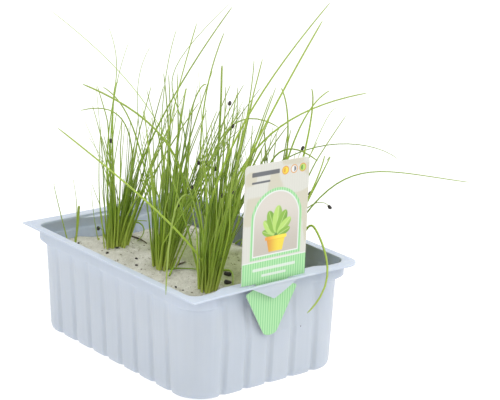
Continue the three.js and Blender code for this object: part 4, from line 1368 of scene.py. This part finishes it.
def print_colours(u, w):
    """Colour of the printed side: cream paper white with beige blotches and a faint vertical
    lining, the picture in its arched window, plain bars and discs, and below a straight edge
    the green band in two tones of stripes, which runs on down the stake."""
    lining = np.cos(2 * math.pi * u / STRIPE)
    stripes = (0.5 + 0.5 * np.tanh(STRIPE_EDGE * lining))[..., None]
    green = BAND_GREEN[0] + (BAND_GREEN[1] - BAND_GREEN[0]) * stripes
    patches = noise(u, w, BLOTCHES["size"], BLOTCHES["roll"])
    colours = np.array(CREAM) * (1 + LINING * lining[..., None])
    colours = laid(colours, BLOTCH, BLOTCHES["share"] * smoothstep(*BLOTCHES["edge"], patches))
    edge = window_distance(u, w)
    colours = laid(colours, green, inside(edge - BORDER["green"]))
    colours = laid(colours, WHITE, inside(edge - BORDER["white"]))
    shade = GROUND_SHADE["share"] * smoothstep(*GROUND_SHADE["heights"], w)
    ground = np.array(GROUND) - shade[..., None]
    colours = laid(colours, pot_plant(ground + 0 * colours, u, w), inside(edge))
    for across, up in BARS:
        colours = laid(colours, INK, 0.9 * inside(box_distance(u, w, across, up)))
    for middle, face, half, way in DISCS:
        away = np.hypot(u - middle, w - DISC["height"]) - DISC["radius"]
        colours = laid(colours, SUNNY[1], inside(away))
        colours = laid(colours, face, inside(away + DISC["ring"]))
        filled = np.maximum(away + DISC["gap"], (u - middle) * way)
        colours = laid(colours, half, 0.85 * inside(filled))
    colours = laid(colours, WHITE, inside(np.abs(w - BAND_TOP) - BAND_LINE))
    colours = laid(colours, green, smoothstep(BAND_TOP + BAND_SOFT, BAND_TOP - BAND_SOFT, w))
    for across, up in BAND_BARS:
        colours = laid(colours, WHITE, 0.75 * inside(box_distance(u, w, across, up)))
    return colours


def label_grid():
    """The label as one closed skin of level sections, stake first: each runs along the front
    in close steps, round the edge, and back along the rear in coarse ones. Also gives the
    colours, and the whole leans a little to one side about the middle of the rim's slot."""
    low = np.arange(STAKE_ROWS[0], PANEL["bottom"], STAKE_ROWS[1])
    high = np.linspace(PANEL["bottom"], PANEL["top"] - PANEL_END, PANEL_ROWS)
    over = np.clip(high - PANEL["top"] + PANEL["round"], 0, PANEL["round"])
    cut = PANEL["round"] - np.sqrt(PANEL["round"] ** 2 - over**2)
    left = np.concatenate([STAKE_X - stake_half(low), PANEL["left"] + cut])[:, None]
    right = np.concatenate([STAKE_X + stake_half(low), PANEL["right"] - cut])[:, None]
    front = np.linspace(0, 1, FRONT_COLUMNS)
    back = np.linspace(1, 0, BACK_COLUMNS)
    deep = np.concatenate([0 * front - 0.5, 0 * back + 0.5])
    x = left + (right - left) * np.concatenate([front, back])
    z = np.concatenate([low, high])[:, None] + 0 * x
    printed = (deep < 0)[:, None]
    colours = np.where(printed, print_colours(x - PANEL["left"], z - PANEL["bottom"]), BARE)
    aside, up = x - STAKE_X, z - RIM_TOP
    x = STAKE_X + aside * math.cos(LEAN) + up * math.sin(LEAN)
    z = RIM_TOP - aside * math.sin(LEAN) + up * math.cos(LEAN)
    points = np.stack([x, SHEET_Y + SHEET_THICK * deep + 0 * x, z], axis=-1)
    return points[None], np.concatenate([colours, 0 * colours[..., :1] + 1], axis=-1)[None]


def label_material():
    """Thin plastic sheet with a gloss print: the print's colours, under a clear sheen that
    small dents in the sheet break up."""
    material, tree, shader = nodes_of("label_plastic")
    ink = node(tree, "Attribute", {"attribute_name": "print"}).outputs["Color"]
    dents = bumps(tree, clouds(tree, place_in(tree), 60.0, 2.0), 0.1, 0.001)
    feed(tree, shader, Base_Color=ink, Normal=dents, Roughness=0.35, Specular_IOR_Level=0.4)
    return material


points, colours = label_grid()
label = shells("plant_label", points, print=[colours])
smooth(label, LABEL_SHARP)
label.data.materials.append(label_material())
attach(label, "root")
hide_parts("label")

# ------------------------------------------------------------------------------ the studio
# A white table under soft light: a large lamp overhead, one to the front right that casts the
# soft shadows, one from the left that opens them, and a bright even surround.

FLOOR_HALF = 6.0
FLOOR_GREY = (0.25, 0.25, 0.25, 1.0)
FLOOR_GLOW = 0.9
PURE_WHITE = (1.0, 1.0, 1.0, 1.0)

# The lamps: place and size in metres, and power in watts. They aim at the middle of the plants.
LAMPS = {
    "top_lamp": ((0.1, -0.1, 1.3), 0.9, 5.2),
    "key_lamp": ((0.9, -1.1, 1.1), 0.7, 7.0),
    "fill_lamp": ((-1.4, -0.3, 0.7), 1.2, 2.2),
}
AIM = Vector((0.0, 0.0, 0.08))

# The camera: where it stands, what lies to its right, over it and ahead, and its lens.
CAMERA_PLACE = (-0.7464, -0.9973, 0.4847)
CAMERA_RIGHT = Vector((0.7862, -0.6175, 0.0244))
CAMERA_UP = Vector((0.1645, 0.2471, 0.9549))
CAMERA_AHEAD = Vector((0.5957, 0.7467, -0.2959))
LENS = 147.57
SENSOR = 36.0


def placed_object(name, data):
    """An object for the data, linked into the scene."""
    made = bpy.data.objects.new(name, data)
    bpy.context.scene.collection.objects.link(made)
    return made


floor = placed_object("studio_floor", bpy.data.meshes.new("studio_floor"))
corners = [(-FLOOR_HALF, -FLOOR_HALF, 0), (FLOOR_HALF, -FLOOR_HALF, 0)]
corners += [(FLOOR_HALF, FLOOR_HALF, 0), (-FLOOR_HALF, FLOOR_HALF, 0)]
floor.data.from_pydata(corners, [], [(0, 1, 2, 3)])
material, tree, shader = nodes_of("studio_floor")
feed(
    tree,
    shader,
    Base_Color=FLOOR_GREY,
    Roughness=1.0,
    Specular_IOR_Level=0.0,
    Emission_Color=PURE_WHITE,
    Emission_Strength=FLOOR_GLOW,
)
floor.data.materials.append(material)

world = bpy.data.worlds.new("studio")
world.use_nodes = True
feed(world.node_tree, world.node_tree.nodes["Background"], Color=PURE_WHITE, Strength=1.0)
bpy.context.scene.world = world

for name, (place, size, power) in LAMPS.items():
    light = bpy.data.lights.new(name, "AREA")
    light.size = size
    light.energy = power
    lamp = placed_object(name, light)
    lamp.location = place
    lamp.rotation_euler = (AIM - Vector(place)).to_track_quat("-Z", "Y").to_euler()

camera = placed_object("camera", bpy.data.cameras.new("camera"))
camera.data.lens = LENS
camera.data.sensor_width = SENSOR
turn = Matrix([CAMERA_RIGHT, CAMERA_UP, -CAMERA_AHEAD]).transposed().to_4x4()
camera.matrix_world = Matrix.Translation(CAMERA_PLACE) @ turn
bpy.context.scene.camera = camera
bpy.context.scene.view_settings.view_transform = "Standard"
